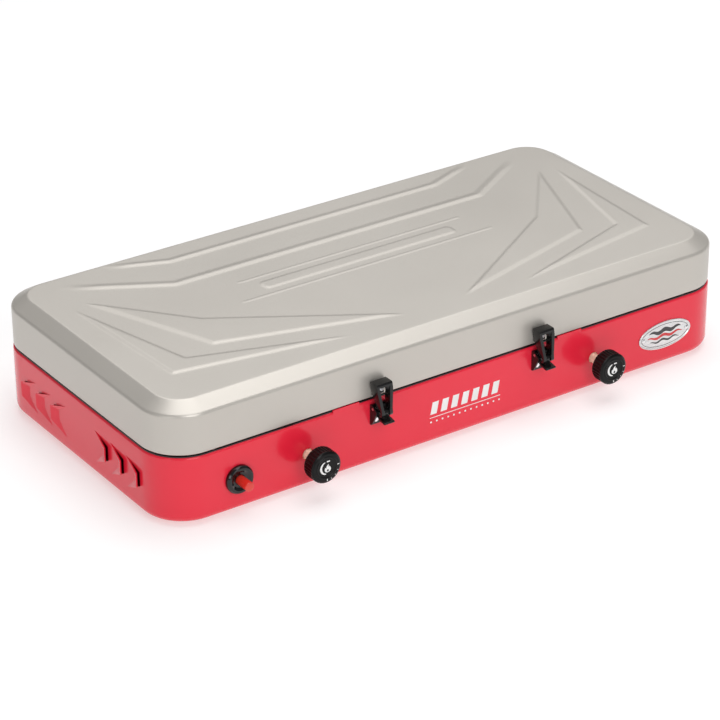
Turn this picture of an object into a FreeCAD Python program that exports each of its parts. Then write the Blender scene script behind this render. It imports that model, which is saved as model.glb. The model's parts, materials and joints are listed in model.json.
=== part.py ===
import FreeCAD, Part
import os
import math
import sys
from FreeCAD import Vector, Placement, Rotation

# Two-burner camping stove in its closed, carrying state.
# Millimetres.  +X runs along the front from the igniter side to the gas inlet
# side, +Y runs from the knobs to the hinges, +Z is up.  The geometry below is
# written in the stove's own body frame (x = 0, y = 0 at the middle of the
# pressed tub, z = 0 at the tub's underside).  Every sub-part then carries the
# same Placement, which lifts it onto the rubber feet and centres the whole
# footprint (knobs in front, hinges behind) on the origin.

os.makedirs("parts", exist_ok=True)
doc = FreeCAD.newDocument("camping_stove")

# ---------------------------------------------------------------- dimensions
SIZES = [
    ("body_width", 597.0), ("body_depth", 288.0), ("corner_radius", 39.8),
    ("tub_height", 62.2), ("bottom_edge_radius", 7.7), ("sheet_gauge", 1.2),
    ("rim_flange", 10.0),
    ("lid_bottom", 64.8), ("lid_bend", 100.9), ("lid_plateau", 109.2),
    ("lid_bevel", 15.2), ("lid_inset", 0.6), ("emboss_height", 1.1),
    ("offset_y", 10.5), ("foot_height", 3.0), ("foot_diameter", 24.0),
    ("foot_pitch_x", 440.0), ("foot_pitch_y", 190.0),
    ("control_axis_z", 31.0), ("left_knob_x", -160.5), ("right_knob_x", 145.0),
    ("knob_radius", 14.9), ("knob_length", 13.4), ("knob_standoff", 15.6),
    ("stem_radius", 4.5), ("running_gap", 0.05),
    ("igniter_x", -229.0), ("igniter_z", 30.0), ("bezel_radius", 13.0),
    ("bezel_thickness", 4.5), ("button_radius", 4.3), ("button_reach", 17.5),
    ("button_travel", 6.0),
    ("latch_mid_x", -3.4), ("latch_half_pitch", 86.0), ("latch_width", 16.0),
    ("lever_width", 10.4), ("keeper_width", 11.0),
    ("badge_x", 227.0), ("badge_z", 30.5), ("badge_width", 60.0),
    ("badge_height", 27.0), ("badge_thickness", 1.0), ("badge_rivet_pitch", 50.0),
    ("burner_y", 9.0), ("burner_radius", 38.0), ("burner_top", 47.0),
    ("tray_gauge", 1.0), ("pan_floor", 43.0), ("pan_half_x", 282.0),
    ("pan_front", -112.0), ("pan_rear", 130.0),
    ("pipe_radius", 4.75), ("pipe_y", -124.0), ("pipe_z", 19.0),
    ("inlet_y", -3.0), ("inlet_bore", 6.5), ("inlet_neck", 9.3),
    ("grate_half_x", 285.2), ("grate_front", -115.2), ("grate_rear", 133.4),
    ("grate_frame_rod", 3.0), ("grate_wire", 2.2),
    ("hinge_x", 180.0), ("hinge_y", 148.6), ("hinge_z", 63.6),
    ("hinge_width", 56.0), ("hinge_pin", 1.6), ("knuckle_radius", 3.4),
    ("screen_hinge_x", 284.0), ("screen_z", 98.4), ("screen_gauge", 0.8),
    ("screen_reach", 140.0), ("screen_rod", 1.5),
    ("louvre_mid_y", -2.9), ("louvre_height", 3.7),
    ("rivet_shank", 1.6), ("rivet_head", 3.0),
]
sheet = doc.addObject("Spreadsheet::Sheet", "Sizes")
for row, (alias, value) in enumerate(SIZES, start=1):
    sheet.set("A%d" % row, alias)
    sheet.set("B%d" % row, str(value))
    sheet.setAlias("B%d" % row, alias)
doc.recompute()


class Dim(object):
    """A number together with the spreadsheet expression that gives it."""

    def __init__(self, value, text):
        self.value = float(value)
        self.text = text

    @staticmethod
    def of(other):
        return other if isinstance(other, Dim) else Dim(other, repr(float(other)))

    def join(self, other, sign, value):
        return Dim(value, "(%s %s %s)" % (self.text, sign, Dim.of(other).text))

    def __add__(self, o): return self.join(o, "+", self.value + Dim.of(o).value)
    def __radd__(self, o): return Dim.of(o) + self
    def __sub__(self, o): return self.join(o, "-", self.value - Dim.of(o).value)
    def __rsub__(self, o): return Dim.of(o) - self
    def __mul__(self, o): return self.join(o, "*", self.value * Dim.of(o).value)
    def __rmul__(self, o): return Dim.of(o) * self
    def __truediv__(self, o): return self.join(o, "/", self.value / Dim.of(o).value)
    def __neg__(self): return Dim(-self.value, "(-1 * %s)" % self.text)
    def __float__(self): return self.value


def dim(alias):
    return Dim(float(getattr(sheet, alias)), "Sizes." + alias)


def val(alias):
    return float(getattr(sheet, alias))


W, D, RC = val("body_width"), val("body_depth"), val("corner_radius")
HX, HY = W / 2.0, D / 2.0
T = val("sheet_gauge")
SHIFT = Vector(0, val("offset_y"), val("foot_height"))
PARTS = []


def at(x=0.0, y=0.0, z=0.0, rot=None):
    return Placement(Vector(x, y, z) + SHIFT, rot or Rotation())


def bind(obj, prop, value):
    if isinstance(value, Dim):
        setattr(obj, prop, value.value)
        obj.setExpression(prop, value.text)
    else:
        setattr(obj, prop, value)


# ---------------------------------------------------------------- PartDesign
def new_body(label, x=0.0, y=0.0, z=0.0):
    body = doc.addObject("PartDesign::Body", label)
    body.Label = label
    body.Placement = at(float(x), float(y), float(z))
    PARTS.append(body)
    return body


def plane(body, role):
    for feat in body.Origin.OriginFeatures:
        if feat.Role == role:
            return feat
    raise RuntimeError("no plane " + role)


def new_sketch(body, role, name, lift=0.0):
    sk = body.newObject("Sketcher::SketchObject", name)
    sk.AttachmentSupport = [(plane(body, role), "")]
    sk.MapMode = "FlatFace"
    sk.AttachmentOffset = Placement(Vector(0, 0, float(lift)), Rotation())
    return sk


def fix_point(sk, geo, pos, x, y):
    import Sketcher
    for axis, v, line in (("DistanceX", x, -2), ("DistanceY", y, -1)):
        if abs(float(v)) < 1e-9:
            sk.addConstraint(Sketcher.Constraint("PointOnObject", geo, pos, line))
        else:
            n = sk.addConstraint(Sketcher.Constraint(axis, -1, 1, geo, pos, float(v)))
            if isinstance(v, Dim):
                sk.setExpression("Constraints[%d]" % n, v.text)


def draw_polygon(sk, points):
    import Sketcher
    n = len(points)
    first = sk.GeometryCount
    for i in range(n):
        a, b = points[i], points[(i + 1) % n]
        sk.addGeometry(Part.LineSegment(Vector(float(a[0]), float(a[1]), 0),
                                        Vector(float(b[0]), float(b[1]), 0)), False)
    for i in range(n):
        sk.addConstraint(Sketcher.Constraint("Coincident", first + i, 2,
                                             first + (i + 1) % n, 1))
    for i in range(n):
        fix_point(sk, first + i, 1, points[i][0], points[i][1])


def draw_circle(sk, x, y, r):
    import Sketcher
    g = sk.addGeometry(Part.Circle(Vector(float(x), float(y), 0), Vector(0, 0, 1), float(r)), False)
    fix_point(sk, g, 3, x, y)
    n = sk.addConstraint(Sketcher.Constraint("Radius", g, float(r)))
    if isinstance(r, Dim):
        sk.setExpression("Constraints[%d]" % n, r.text)


def add_pad(body, sk, length, midplane=False, reverse=False):
    pad = body.newObject("PartDesign::Pad", sk.Name + "_pad")
    pad.Profile = sk
    bind(pad, "Length", length)
    pad.Midplane = midplane
    pad.Reversed = reverse
    sk.Visibility = False
    doc.recompute()
    return pad


def add_pocket(body, sk, length, reverse=False, midplane=False):
    before = body.Shape.Volume
    pocket = body.newObject("PartDesign::Pocket", sk.Name + "_cut")
    pocket.Profile = sk
    bind(pocket, "Length", length)
    pocket.Reversed = reverse
    pocket.Midplane = midplane
    doc.recompute()
    if body.Shape.Volume > before - 1e-3:
        raise RuntimeError(sk.Name + " cut nothing")
    return pocket


def add_revolution(body, sk, axis):
    rev = body.newObject("PartDesign::Revolution", sk.Name + "_turn")
    rev.Profile = sk
    rev.ReferenceAxis = (sk, [axis])
    rev.Angle = 360.0
    doc.recompute()
    return rev


def turned_y(label, x, z, profile):
    """A turned piece about an axis along Y; profile is (y, radius)."""
    body = new_body(label, x, 0.0, z)
    sk = new_sketch(body, "YZ_Plane", label + "_section")
    draw_polygon(sk, profile)
    add_revolution(body, sk, "H_Axis")
    return body


def turned_z(label, x, y, profile):
    """A turned piece about a vertical axis; profile is (radius, z)."""
    body = new_body(label, x, y, 0.0)
    sk = new_sketch(body, "XZ_Plane", label + "_section")
    draw_polygon(sk, profile)
    add_revolution(body, sk, "V_Axis")
    return body


def rail_x(label, x, profile, width, base=(0.0, 0.0)):
    """A plate profile in (y, z) padded both ways along X."""
    body = new_body(label, x, base[0], base[1])
    sk = new_sketch(body, "YZ_Plane", label + "_side")
    draw_polygon(sk, profile)
    add_pad(body, sk, width, midplane=True)
    return body


# ---------------------------------------------------------------- Part helpers
def feature(label, shape):
    if (shape.ShapeType == "Compound" and len(shape.Solids) == 1
            and shape.Solids[0].Placement.isIdentity(1e-12)):
        shape = shape.Solids[0]
    elif not shape.Placement.isIdentity(1e-12):
        shape = Part.makeCompound([shape])
    obj = doc.addObject("Part::Feature", label)
    obj.Label = label
    obj.Shape = shape
    obj.Placement = at()
    PARTS.append(obj)
    return obj


def group(label, shapes):
    return feature(label, Part.makeCompound(shapes))


def cyl(r, length, p, axis):
    return Part.makeCylinder(r, length, Vector(*p), Vector(*axis))


def box(x0, x1, y0, y1, z0, z1):
    return Part.makeBox(x1 - x0, y1 - y0, z1 - z0, Vector(x0, y0, z0))


def vertical_edges(shape):
    return [e for e in shape.Edges
            if abs(e.BoundBox.XLength) < 1e-6 and abs(e.BoundBox.YLength) < 1e-6]


def level_edges(shape, z):
    return [e for e in shape.Edges
            if abs(e.BoundBox.ZMin - z) < 1e-4 and abs(e.BoundBox.ZMax - z) < 1e-4]


def rounded_box(x0, x1, y0, y1, z0, z1, r, low=0.0, high=0.0):
    s = box(x0, x1, y0, y1, z0, z1)
    s = s.makeFillet(r, vertical_edges(s))
    if low:
        s = s.makeFillet(low, level_edges(s, z0))
    if high:
        s = s.makeFillet(high, level_edges(s, z1))
    return s


def rounded_wire(hx, hy, r, z):
    k = math.sqrt(0.5)
    pts = []
    edges = []
    corners = [(hx - r, hy - r, 0.0), (-(hx - r), hy - r, 90.0),
               (-(hx - r), -(hy - r), 180.0), (hx - r, -(hy - r), 270.0)]
    last = None
    first = None
    for cx, cy, a in corners:
        a0, a1, a2 = [math.radians(a + q) for q in (0, 45, 90)]
        p0 = Vector(cx + r * math.cos(a0), cy + r * math.sin(a0), z)
        p1 = Vector(cx + r * math.cos(a1), cy + r * math.sin(a1), z)
        p2 = Vector(cx + r * math.cos(a2), cy + r * math.sin(a2), z)
        if last is not None:
            edges.append(Part.makeLine(last, p0))
        else:
            first = p0
        edges.append(Part.Arc(p0, p1, p2).toShape())
        last = p2
    edges.append(Part.makeLine(last, first))
    return Part.Wire(edges)


def polygon_face(points):
    pts = [Vector(*p) for p in points]
    return Part.Face(Part.makePolygon(pts + [pts[0]]))


def solid_of(faces):
    shell = Part.makeShell(faces)
    shell.sewShape()
    s = Part.makeSolid(shell)
    if s.Volume < 0:
        s.reverse()
    return s


def bent_path(points, radius):
    """Straight runs joined by tangent arcs of the given radius."""
    pts = [Vector(*p) for p in points]
    edges = []
    start = pts[0]
    length = 0.0
    for i in range(1, len(pts) - 1):
        u = (pts[i] - pts[i - 1]).normalize()
        v = (pts[i + 1] - pts[i]).normalize()
        turn = u.getAngle(v)
        back = radius * math.tan(turn / 2.0)
        a = pts[i] - u * back
        b = pts[i] + v * back
        side = (v - u).normalize()
        centre = pts[i] + side * (radius / math.cos(turn / 2.0))
        mid = centre - side * radius
        edges.append(Part.makeLine(start, a))
        edges.append(Part.Arc(a, mid, b).toShape())
        length += (a - start).Length + radius * turn
        start = b
    edges.append(Part.makeLine(start, pts[-1]))
    length += (pts[-1] - start).Length
    return Part.Wire(edges), length


def swept_tube(points, bend, r, label):
    path, length = bent_path(points, bend)
    direction = Vector(*points[1]) - Vector(*points[0])
    ring = Part.Wire([Part.makeCircle(r, Vector(*points[0]), direction)])
    tube = path.makePipeShell([ring], True, False)
    want = math.pi * r * r * length
    if abs(tube.Volume - want) > 0.01 * want:
        raise RuntimeError("%s tube volume %.1f, wanted %.1f" % (label, tube.Volume, want))
    print("%s: length %.1f mm, bend radius %.1f mm, volume %.1f of %.1f"
          % (label, length, bend, tube.Volume, want))
    return tube


def rivet(x, y, z, axis, grip, head, shank, bulb=1.2):
    """A set blind rivet: domed head at (x, y, z), shank running along axis
    (one way or the other along Y) and a short bulb on the far side."""
    h = 1.1
    profile = [(-h, 0), (-0.97 * h, 0.25 * head), (-0.82 * h, 0.55 * head), (-0.5 * h, 0.85 * head),
               (-0.15, head), (0, head), (0, shank), (grip, shank), (grip, 1.25 * shank),
               (grip + bulb, 1.25 * shank), (grip + bulb, 0)]
    face = polygon_face([(x + r, y + axis[1] * s, z) for s, r in profile])
    solid = face.revolve(Vector(x, y, z), Vector(0, 1, 0), 360)
    if solid.Volume < 0:
        solid.reverse()
    return solid


# ================================================================= the tub
def louvre_plate(side, mid, sign, index):
    """One pressed louvre: a chevron-shaped hood, open along its leading edge.
    side is -1 (left wall) or +1; sign is the way the chevron points in Y."""
    lead = [98.6, 72.4, 46.3][index]
    tail = [77.1, 50.9, 25.1][index]
    depth = 9.0
    hgt = val("louvre_height")
    wall = side * HX

    def p(y, z, out):
        return (wall + side * out, mid + sign * y, z)
    pts = {"a0": (tail, 45.3), "a1": (lead, 38.7), "a2": (lead, 25.3), "a3": (tail, 15.3),
           "b2": (lead - depth, 27.0), "b1": (lead - depth, 37.0)}
    out = {"a0": 0.0, "a1": hgt, "a2": hgt, "a3": 0.0, "b2": 0.0, "b1": 0.0}
    o = {k: p(pts[k][0], pts[k][1], out[k]) for k in pts}
    i = {k: p(pts[k][0], pts[k][1], out[k] - T) for k in pts}
    ring = ["a0", "a1", "a2", "a3", "b2", "b1"]
    faces = []
    for s in (o, i):
        faces.append(polygon_face([s["a0"], s["a1"], s["b1"]]))
        faces.append(polygon_face([s["a1"], s["a2"], s["b2"], s["b1"]]))
        faces.append(polygon_face([s["a2"], s["a3"], s["b2"]]))
    for k in range(6):
        m, n = ring[k], ring[(k + 1) % 6]
        faces.append(polygon_face([o[m], o[n], i[n], i[m]]))
    hood = solid_of(faces)
    edge = polygon_face([p(pts[k][0], pts[k][1], 1.0) for k in ring])
    window = edge.extrude(Vector(-side * (T + 2.0), 0, 0))
    return window, hood


def make_tub():
    top = val("tub_height")
    outer = rounded_box(-HX, HX, -HY, HY, 0, top, RC, low=val("bottom_edge_radius"), high=2.0)
    inner = rounded_box(-HX + T, HX - T, -HY + T, HY - T, T, top - T, RC - T,
                        low=val("bottom_edge_radius") - T, high=0.9)
    f = val("rim_flange")
    mouth = rounded_box(-HX + f, HX - f, -HY + f, HY - f, T + 10, top + 5, RC - f)
    tub = outer.cut(inner).cut(mouth)
    # two small upstands of the front rim carry the lid's lower edge
    tabs = [box(-134.5, -108.0, -HY, -HY + T, top - 3.0, 64.2),
            box(103.5, 130.0, -HY, -HY + T, top - 3.0, 64.2)]
    tub = tub.fuse(tabs)
    windows, hoods = [], []
    for side in (-1, 1):
        for sign in (-1, 1):
            for k in range(3):
                w, h = louvre_plate(side, val("louvre_mid_y"), sign, k)
                windows.append(w)
                hoods.append(h)
    tub = tub.cut(windows).fuse(hoods)
    cuts = []
    for x in (val("left_knob_x"), val("right_knob_x")):
        cuts.append(cyl(5.2, 8, (x, -HY - 4, val("control_axis_z")), (0, 1, 0)))
    cuts.append(cyl(7.7, 8, (val("igniter_x"), -HY - 4, val("igniter_z")), (0, 1, 0)))
    # eight-sided hole for the gas inlet's neck, hidden between hexagon and lock nut
    flat = (val("inlet_neck") + 0.1) / math.cos(math.pi / 8)
    cuts.append(polygon_face([(HX - 5, val("inlet_y") + flat * math.cos(math.pi * (k + 0.5) / 4),
                               val("pipe_z") + flat * math.sin(math.pi * (k + 0.5) / 4))
                              for k in range(8)]).extrude(Vector(8, 0, 0)))
    for x, z in latch_rivet_points():
        cuts.append(cyl(val("rivet_shank") + 0.03, 6, (x, -HY - 3, z), (0, 1, 0)))
    for x, y in tray_screw_points():
        cuts.append(cyl(1.63, 6, (x, y, top - 4), (0, 0, 1)))
    for s in (-1, 1):
        cuts.append(cyl(1.23, 6, (val("badge_x") + s * val("badge_rivet_pitch") / 2, -HY - 3,
                                  val("badge_z")), (0, 1, 0)))
        for sy in (-1, 1):
            cuts.append(cyl(3.05, 4, (s * val("foot_pitch_x") / 2, sy * val("foot_pitch_y") / 2, -1),
                            (0, 0, 1)))
        for dx in (-18, 18):
            cuts.append(cyl(val("rivet_shank") + 0.03, 6, (s * val("hinge_x") + dx, HY - 3, 50.0),
                            (0, 1, 0)))
    return tub.cut(cuts).removeSplitter()


def latch_centres():
    m, h = val("latch_mid_x"), val("latch_half_pitch")
    return [("left", m - h), ("right", m + h)]


def tray_screw_points():
    return [(sx * 250.0, y) for sx in (-1, 1) for y in (-138.6, 139.4)]


def latch_rivet_points():
    return [(x + d, 44.0) for _, x in latch_centres() for d in (-2.7, 2.7)]


feature("base_shell", make_tub())

feet = []
for sx in (-1, 1):
    for sy in (-1, 1):
        x, y = sx * val("foot_pitch_x") / 2, sy * val("foot_pitch_y") / 2
        r, hf = val("foot_diameter") / 2, val("foot_height")
        pad = Part.makeCylinder(r, hf, Vector(x, y, -hf))
        pad = pad.makeFillet(0.8, level_edges(pad, -hf))
        stud = cyl(3.0, T, (x, y, 0), (0, 0, 1))
        head = Part.makeCone(5.0, 3.0, 3.0, Vector(x, y, T), Vector(0, 0, 1))
        feet.append(pad.fuse([stud, head]).removeSplitter())
group("rubber_feet", feet)

# ================================================================= drip tray
g = val("tray_gauge")
zt = val("tub_height")
px, pf, pr, pz = val("pan_half_x"), val("pan_front"), val("pan_rear"), val("pan_floor")
flange = rounded_box(-HX + 1.5, HX - 1.5, -HY + 1.5, HY - 1.5, zt, zt + g, RC - 1.5)
pan = rounded_box(-px, px, pf, pr, pz, zt + g, 24.0, low=7.0)
hollow = rounded_box(-px + g, px - g, pf + g, pr - g, pz + g, zt + g + 4, 23.0, low=6.0)
tray = flange.fuse(pan).cut(hollow)
tray_cuts, collars = [], []
for x in (val("left_knob_x"), val("right_knob_x")):
    by = val("burner_y")
    ring = cyl(43.0, 3.2, (x, by, pz), (0, 0, 1)).cut(cyl(42.0, 6.0, (x, by, pz - 0.5), (0, 0, 1)))
    collars.append(ring)
    tray_cuts.append(cyl(42.0, 6.0, (x, by, pz - 0.5), (0, 0, 1)))
    tray_cuts.append(cyl(3.6, 6.0, (x - 50.0, by, pz - 2), (0, 0, 1)))
SCREWS = tray_screw_points()
for x, y in SCREWS:
    tray_cuts.append(cyl(1.63, 6, (x, y, zt - 2), (0, 0, 1)))
tray = tray.cut(tray_cuts).fuse(collars).removeSplitter()
feature("drip_tray", tray)

screws = []
for x, y in SCREWS:
    head = Part.makeCylinder(2.6, 1.1, Vector(x, y, zt + g))
    head = head.makeFillet(0.5, level_edges(head, zt + g + 1.1))
    slot = box(x - 1.7, x + 1.7, y - 0.35, y + 0.35, zt + g + 0.6, zt + g + 2).fuse(
        box(x - 0.35, x + 0.35, y - 1.7, y + 1.7, zt + g + 0.6, zt + g + 2))
    shank = Part.makeCylinder(1.6, g + 4.0, Vector(x, y, zt - 4.0))
    screws.append(head.cut(slot).fuse(shank).removeSplitter())
group("tray_screws", screws)

# ================================================================= burners
for name, x in (("left", val("left_knob_x")), ("right", val("right_knob_x"))):
    by, za = val("burner_y"), val("control_axis_z")
    rb, zb = val("burner_radius"), val("burner_top")

    def turned(points):
        face = polygon_face([(r, 0, z) for r, z in points])
        s = face.revolve(Vector(0, 0, 0), Vector(0, 0, 1), 360)
        s.translate(Vector(x, by, 0))
        return s
    outer = turned([(0, 23), (17, 23), (rb - 3, 36), (rb, 39), (rb, zb), (0, zb)])
    cavity = turned([(0, 26), (15.5, 26), (rb - 5.5, 37.5), (rb - 3.5, 40), (rb - 3.5, zb + 1), (0, zb + 1)])
    tube_o = cyl(7.6, by - 10 + 92, (x, -92, za), (0, 1, 0))
    bell = Part.makeCone(9.4, 7.6, 9.0, Vector(x, -92, za), Vector(0, 1, 0))
    tube_i = cyl(6.0, by + 94, (x, -93, za), (0, 1, 0))
    bell_i = Part.makeCone(7.9, 6.0, 9.0, Vector(x, -92.01, za), Vector(0, 1, 0))
    air = cyl(2.6, 30, (x, -72, za - 15), (0, 0, 1)).fuse(cyl(2.6, 30, (x - 15, -72, za), (1, 0, 0)))
    burner = outer.fuse([tube_o, bell]).cut([cavity, tube_i, bell_i, air,
                                             cyl(2.05, 6, (x, by, 21), (0, 0, 1))])
    feature(name + "_burner_body", burner.removeSplitter())

    cap = turned([(0, 50), (29, 50), (rb - 4.6, zb), (rb - 0.6, zb), (rb - 0.6, 52.5),
                  (rb - 4, 55), (22, 56), (20, 57.2), (8, 57.2), (0, 56.4)])
    ports = []
    for k in range(32):
        slot = box(28.0, 40.0, -0.9, 0.9, 48.2, 51.0)
        slot.rotate(Vector(0, 0, 0), Vector(0, 0, 1), k * 360.0 / 32)
        slot.translate(Vector(x, by, 0))
        ports.append(slot)
    feature(name + "_burner_cap", cap.cut(ports).removeSplitter())

    bracket = new_body(name + "_burner_bracket", x, by, 0.0)
    sk = new_sketch(bracket, "XZ_Plane", name + "_bracket_section")
    draw_polygon(sk, [(-32, dim("sheet_gauge")), (-18.5, dim("sheet_gauge")), (-18.5, 21.5),
                      (18.5, 21.5), (18.5, dim("sheet_gauge")), (32, dim("sheet_gauge")),
                      (32, 2.7), (20, 2.7), (20, 23), (-20, 23), (-20, 2.7), (-32, 2.7)])
    add_pad(bracket, sk, 30.0, midplane=True)
    hole = new_sketch(bracket, "XY_Plane", name + "_bracket_hole", 24.0)
    draw_circle(hole, 0, 0, 2.1)
    add_pocket(bracket, hole, 4.0)

pins = []
for x in (val("left_knob_x"), val("right_knob_x")):
    by = val("burner_y")
    head = Part.makeCylinder(4.0, 2.0, Vector(x, by, 19.5)).cut(
        box(x - 5, x + 5, by - 0.5, by + 0.5, 19.0, 20.2))
    pins.append(head.fuse(Part.makeCylinder(2.0, 4.2, Vector(x, by, 21.5))).removeSplitter())
group("burner_screws", pins)

# ================================================================= gas path
PIPE = [(-172.0, val("pipe_y"), val("pipe_z")), (238.0, val("pipe_y"), val("pipe_z")),
        (238.0, val("inlet_y"), val("pipe_z")), (284.0, val("inlet_y"), val("pipe_z"))]
pipe_o = swept_tube(PIPE, 22.0, val("pipe_radius"), "gas_manifold")
bore_pts = [(-168.5, PIPE[0][1], PIPE[0][2]), PIPE[1], PIPE[2], (286.0, PIPE[3][1], PIPE[3][2])]
bore_path, bore_len = bent_path(bore_pts, 22.0)
pipe_i = bore_path.makePipeShell([Part.Wire([Part.makeCircle(3.6, Vector(*bore_pts[0]), Vector(1, 0, 0))])],
                                 True, False)
feature("gas_manifold", pipe_o.cut(pipe_i))

for name, x in (("left", val("left_knob_x")), ("right", val("right_knob_x"))):
    za, rs, gap = val("control_axis_z"), val("stem_radius"), val("running_gap")
    y0 = -HY + T + 0.3
    face = polygon_face([(0, y0, rs + gap), (0, y0, 8.6), (0, -128, 8.6), (0, -128, 9.6), (0, -112, 9.6),
                         (0, -110, 6.2), (0, -101, 6.2), (0, -101, 3.4), (0, -88, 3.4), (0, -87, 2.4),
                         (0, -87, 0.4), (0, -118, 0.4), (0, -118, rs + gap)])
    core = face.revolve(Vector(0, 0, 0), Vector(0, 1, 0), 360)
    core.translate(Vector(x, 0, za))
    saddle = box(x - 8, x + 8, -133, -115, 11.5, 26.0)
    saddle = saddle.makeFillet(2.0, [e for e in saddle.Edges if abs(e.BoundBox.XLength - 16) < 1e-6
                                     and e.BoundBox.ZMax < 12])
    body = core.fuse(saddle).cut([cyl(val("pipe_radius"), 30, (x - 15, val("pipe_y"), val("pipe_z")), (1, 0, 0)),
                                  cyl(rs + gap, 26, (x, -144, za), (0, 1, 0))])
    feature(name + "_valve_body", body.removeSplitter())

    # brass spindle with a flat for the knob
    knob_back = -HY - val("knob_standoff")
    stem = turned_y(name + "_valve_spindle", x, za,
                    [(knob_back - 10.2, 0), (-120, 0), (-120, dim("stem_radius")),
                     (knob_back - 9.6, dim("stem_radius")), (knob_back - 10.2, dim("stem_radius") - 0.6)])
    flat = new_sketch(stem, "XZ_Plane", name + "_spindle_flat", -(knob_back + 0.5))
    draw_polygon(flat, [(-6, 3.1), (6, 3.1), (6, 6), (-6, 6)])
    add_pocket(stem, flat, 12.0, reverse=True)

    # push-fit knob: raised face ring, fluted skirt, blind D bore
    kr, kl = val("knob_radius"), val("knob_length")
    fy = knob_back - kl
    knob = turned_y(name + "_knob", x, za,
                    [(knob_back, 0), (knob_back, dim("knob_radius") - 1.2),
                     (knob_back - 1.2, dim("knob_radius")), (fy + 1.6, dim("knob_radius")),
                     (fy + 0.5, dim("knob_radius") - 1.1), (fy + 0.5, 9.9), (fy, 9.5), (fy, 8.7),
                     (fy + 0.9, 8.3), (fy + 0.9, 0)])
    bore = new_sketch(knob, "XZ_Plane", name + "_knob_bore", -knob_back)
    import Sketcher
    r_b = rs + 0.02
    yb = 3.12
    xb = math.sqrt(r_b * r_b - yb * yb)
    bore.addGeometry(Part.ArcOfCircle(Part.Circle(Vector(0, 0, 0), Vector(0, 0, 1), r_b),
                                      math.atan2(yb, -xb), math.atan2(yb, xb) + 2 * math.pi), False)
    bore.addGeometry(Part.LineSegment(Vector(xb, yb, 0), Vector(-xb, yb, 0)), False)
    bore.addConstraint(Sketcher.Constraint("Coincident", 0, 2, 1, 1))
    bore.addConstraint(Sketcher.Constraint("Coincident", 0, 1, 1, 2))
    bore.addConstraint(Sketcher.Constraint("Block", 0))
    add_pocket(knob, bore, 10.4, reverse=True)
    flute = new_sketch(knob, "XZ_Plane", name + "_knob_flute", -(knob_back + 1.0))
    draw_circle(flute, dim("knob_radius") + 1.5, 0, 2.1)
    cut = add_pocket(knob, flute, kl - 1.6, reverse=True)
    ring = knob.newObject("PartDesign::PolarPattern", name + "_flutes")
    ring.Originals = [cut]
    ring.Axis = (bore, ["N_Axis"])
    ring.Angle = 360.0
    ring.Occurrences = 24
    knob.Tip = ring
    doc.recompute()

clips = []
cz, cr = val("pipe_z"), val("pipe_radius")
strap = cyl(7.0, 12, (-6, 0, cz), (1, 0, 0)).fuse([box(-6, 6, -2.0, 2.0, T, cz - 3), box(-6, 6, -9, 16, T, T + 1.6)])
strap = strap.cut(cyl(cr, 20, (-10, 0, cz), (1, 0, 0))).removeSplitter()
one = strap.copy()
one.translate(Vector(10.0, val("pipe_y"), 0))
two = strap.copy()
two.rotate(Vector(0, 0, 0), Vector(0, 0, 1), 90)
two.translate(Vector(238.0, -62.0, 0))
group("manifold_clips", [one, two])


def hexagon(across, x0, x1, y, z):
    rr = across / math.sqrt(3)
    pts = [(x0, y + rr * math.cos(math.radians(60 * k)), z + rr * math.sin(math.radians(60 * k)))
           for k in range(6)]
    return polygon_face(pts).extrude(Vector(x1 - x0, 0, 0))


iy, iz = val("inlet_y"), val("pipe_z")
mouth_x = HX + 2.9
fitting = hexagon(22.0, 287.0, HX - T, iy, iz).fuse([
    cyl(7.6, 14, (274, iy, iz), (1, 0, 0)), cyl(val("inlet_neck"), mouth_x - 290, (290, iy, iz), (1, 0, 0))])
fitting = fitting.cut([cyl(val("pipe_radius"), 11, (273, iy, iz), (1, 0, 0)),
                       cyl(3.6, 20, (280, iy, iz), (1, 0, 0)),
                       cyl(val("inlet_bore"), 20, (mouth_x - 14.0, iy, iz), (1, 0, 0))])
feature("inlet_fitting", fitting.removeSplitter())
nut = hexagon(23.0, HX, HX + 2.6, iy, iz).cut(cyl(val("inlet_neck") + 0.03, 8, (HX - 2, iy, iz), (1, 0, 0)))
feature("inlet_lock_nut", nut)

# ================================================================= igniter
ix, iz2 = val("igniter_x"), val("igniter_z")
bez = -HY - val("bezel_thickness")
bezel = turned_y("igniter_bezel", ix, iz2,
                 [(-HY, dim("bezel_radius")), (bez + 1.6, dim("bezel_radius")),
                  (bez + 0.5, dim("bezel_radius") - 0.5), (bez, dim("bezel_radius") - 1.6),
                  (bez, 9.6), (bez + 1.8, 7.0), (bez + 1.8, 4.6), (-136, 4.6), (-136, 7.5), (-HY, 7.5)])
turned_y("igniter_housing", ix, iz2,
         [(-HY + T + 0.05, 7.55), (-HY + T + 0.05, 11.0), (-139.5, 11.0), (-139.5, 9.5), (-104, 9.5),
          (-104, 2.2), (-99, 2.2), (-99, 0), (-110, 0), (-110, 7.55)])
tip = -HY - val("button_reach")
turned_y("igniter_button", ix, iz2,
         [(tip, 0), (tip, dim("button_radius") - 1.0), (tip + 0.35, dim("button_radius") - 0.3),
          (tip + 1.0, dim("button_radius")), (-135.7, dim("button_radius")), (-135.7, 6.8),
          (-132.4, 6.8), (-132.4, 3.4), (-122, 3.4), (-122, 0)])
# return spring: 5.75 turns of round wire, built from quarter-turn arcs
def on_coil(a):
    return Vector(ix + 5.15 * math.cos(a), -131.6 + 3.55 * a / (2 * math.pi), iz2 + 5.15 * math.sin(a))


quarter = math.pi / 2
coil_path = Part.Wire([Part.Arc(on_coil(n * quarter), on_coil((n + 0.5) * quarter),
                                on_coil((n + 1) * quarter)).toShape() for n in range(23)])
first = coil_path.Edges[0]
coil_ring = Part.Wire([Part.makeCircle(0.45, first.valueAt(first.FirstParameter),
                                       first.tangentAt(first.FirstParameter))])
feature("igniter_spring", coil_path.makePipeShell([coil_ring], True, True))

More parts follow.
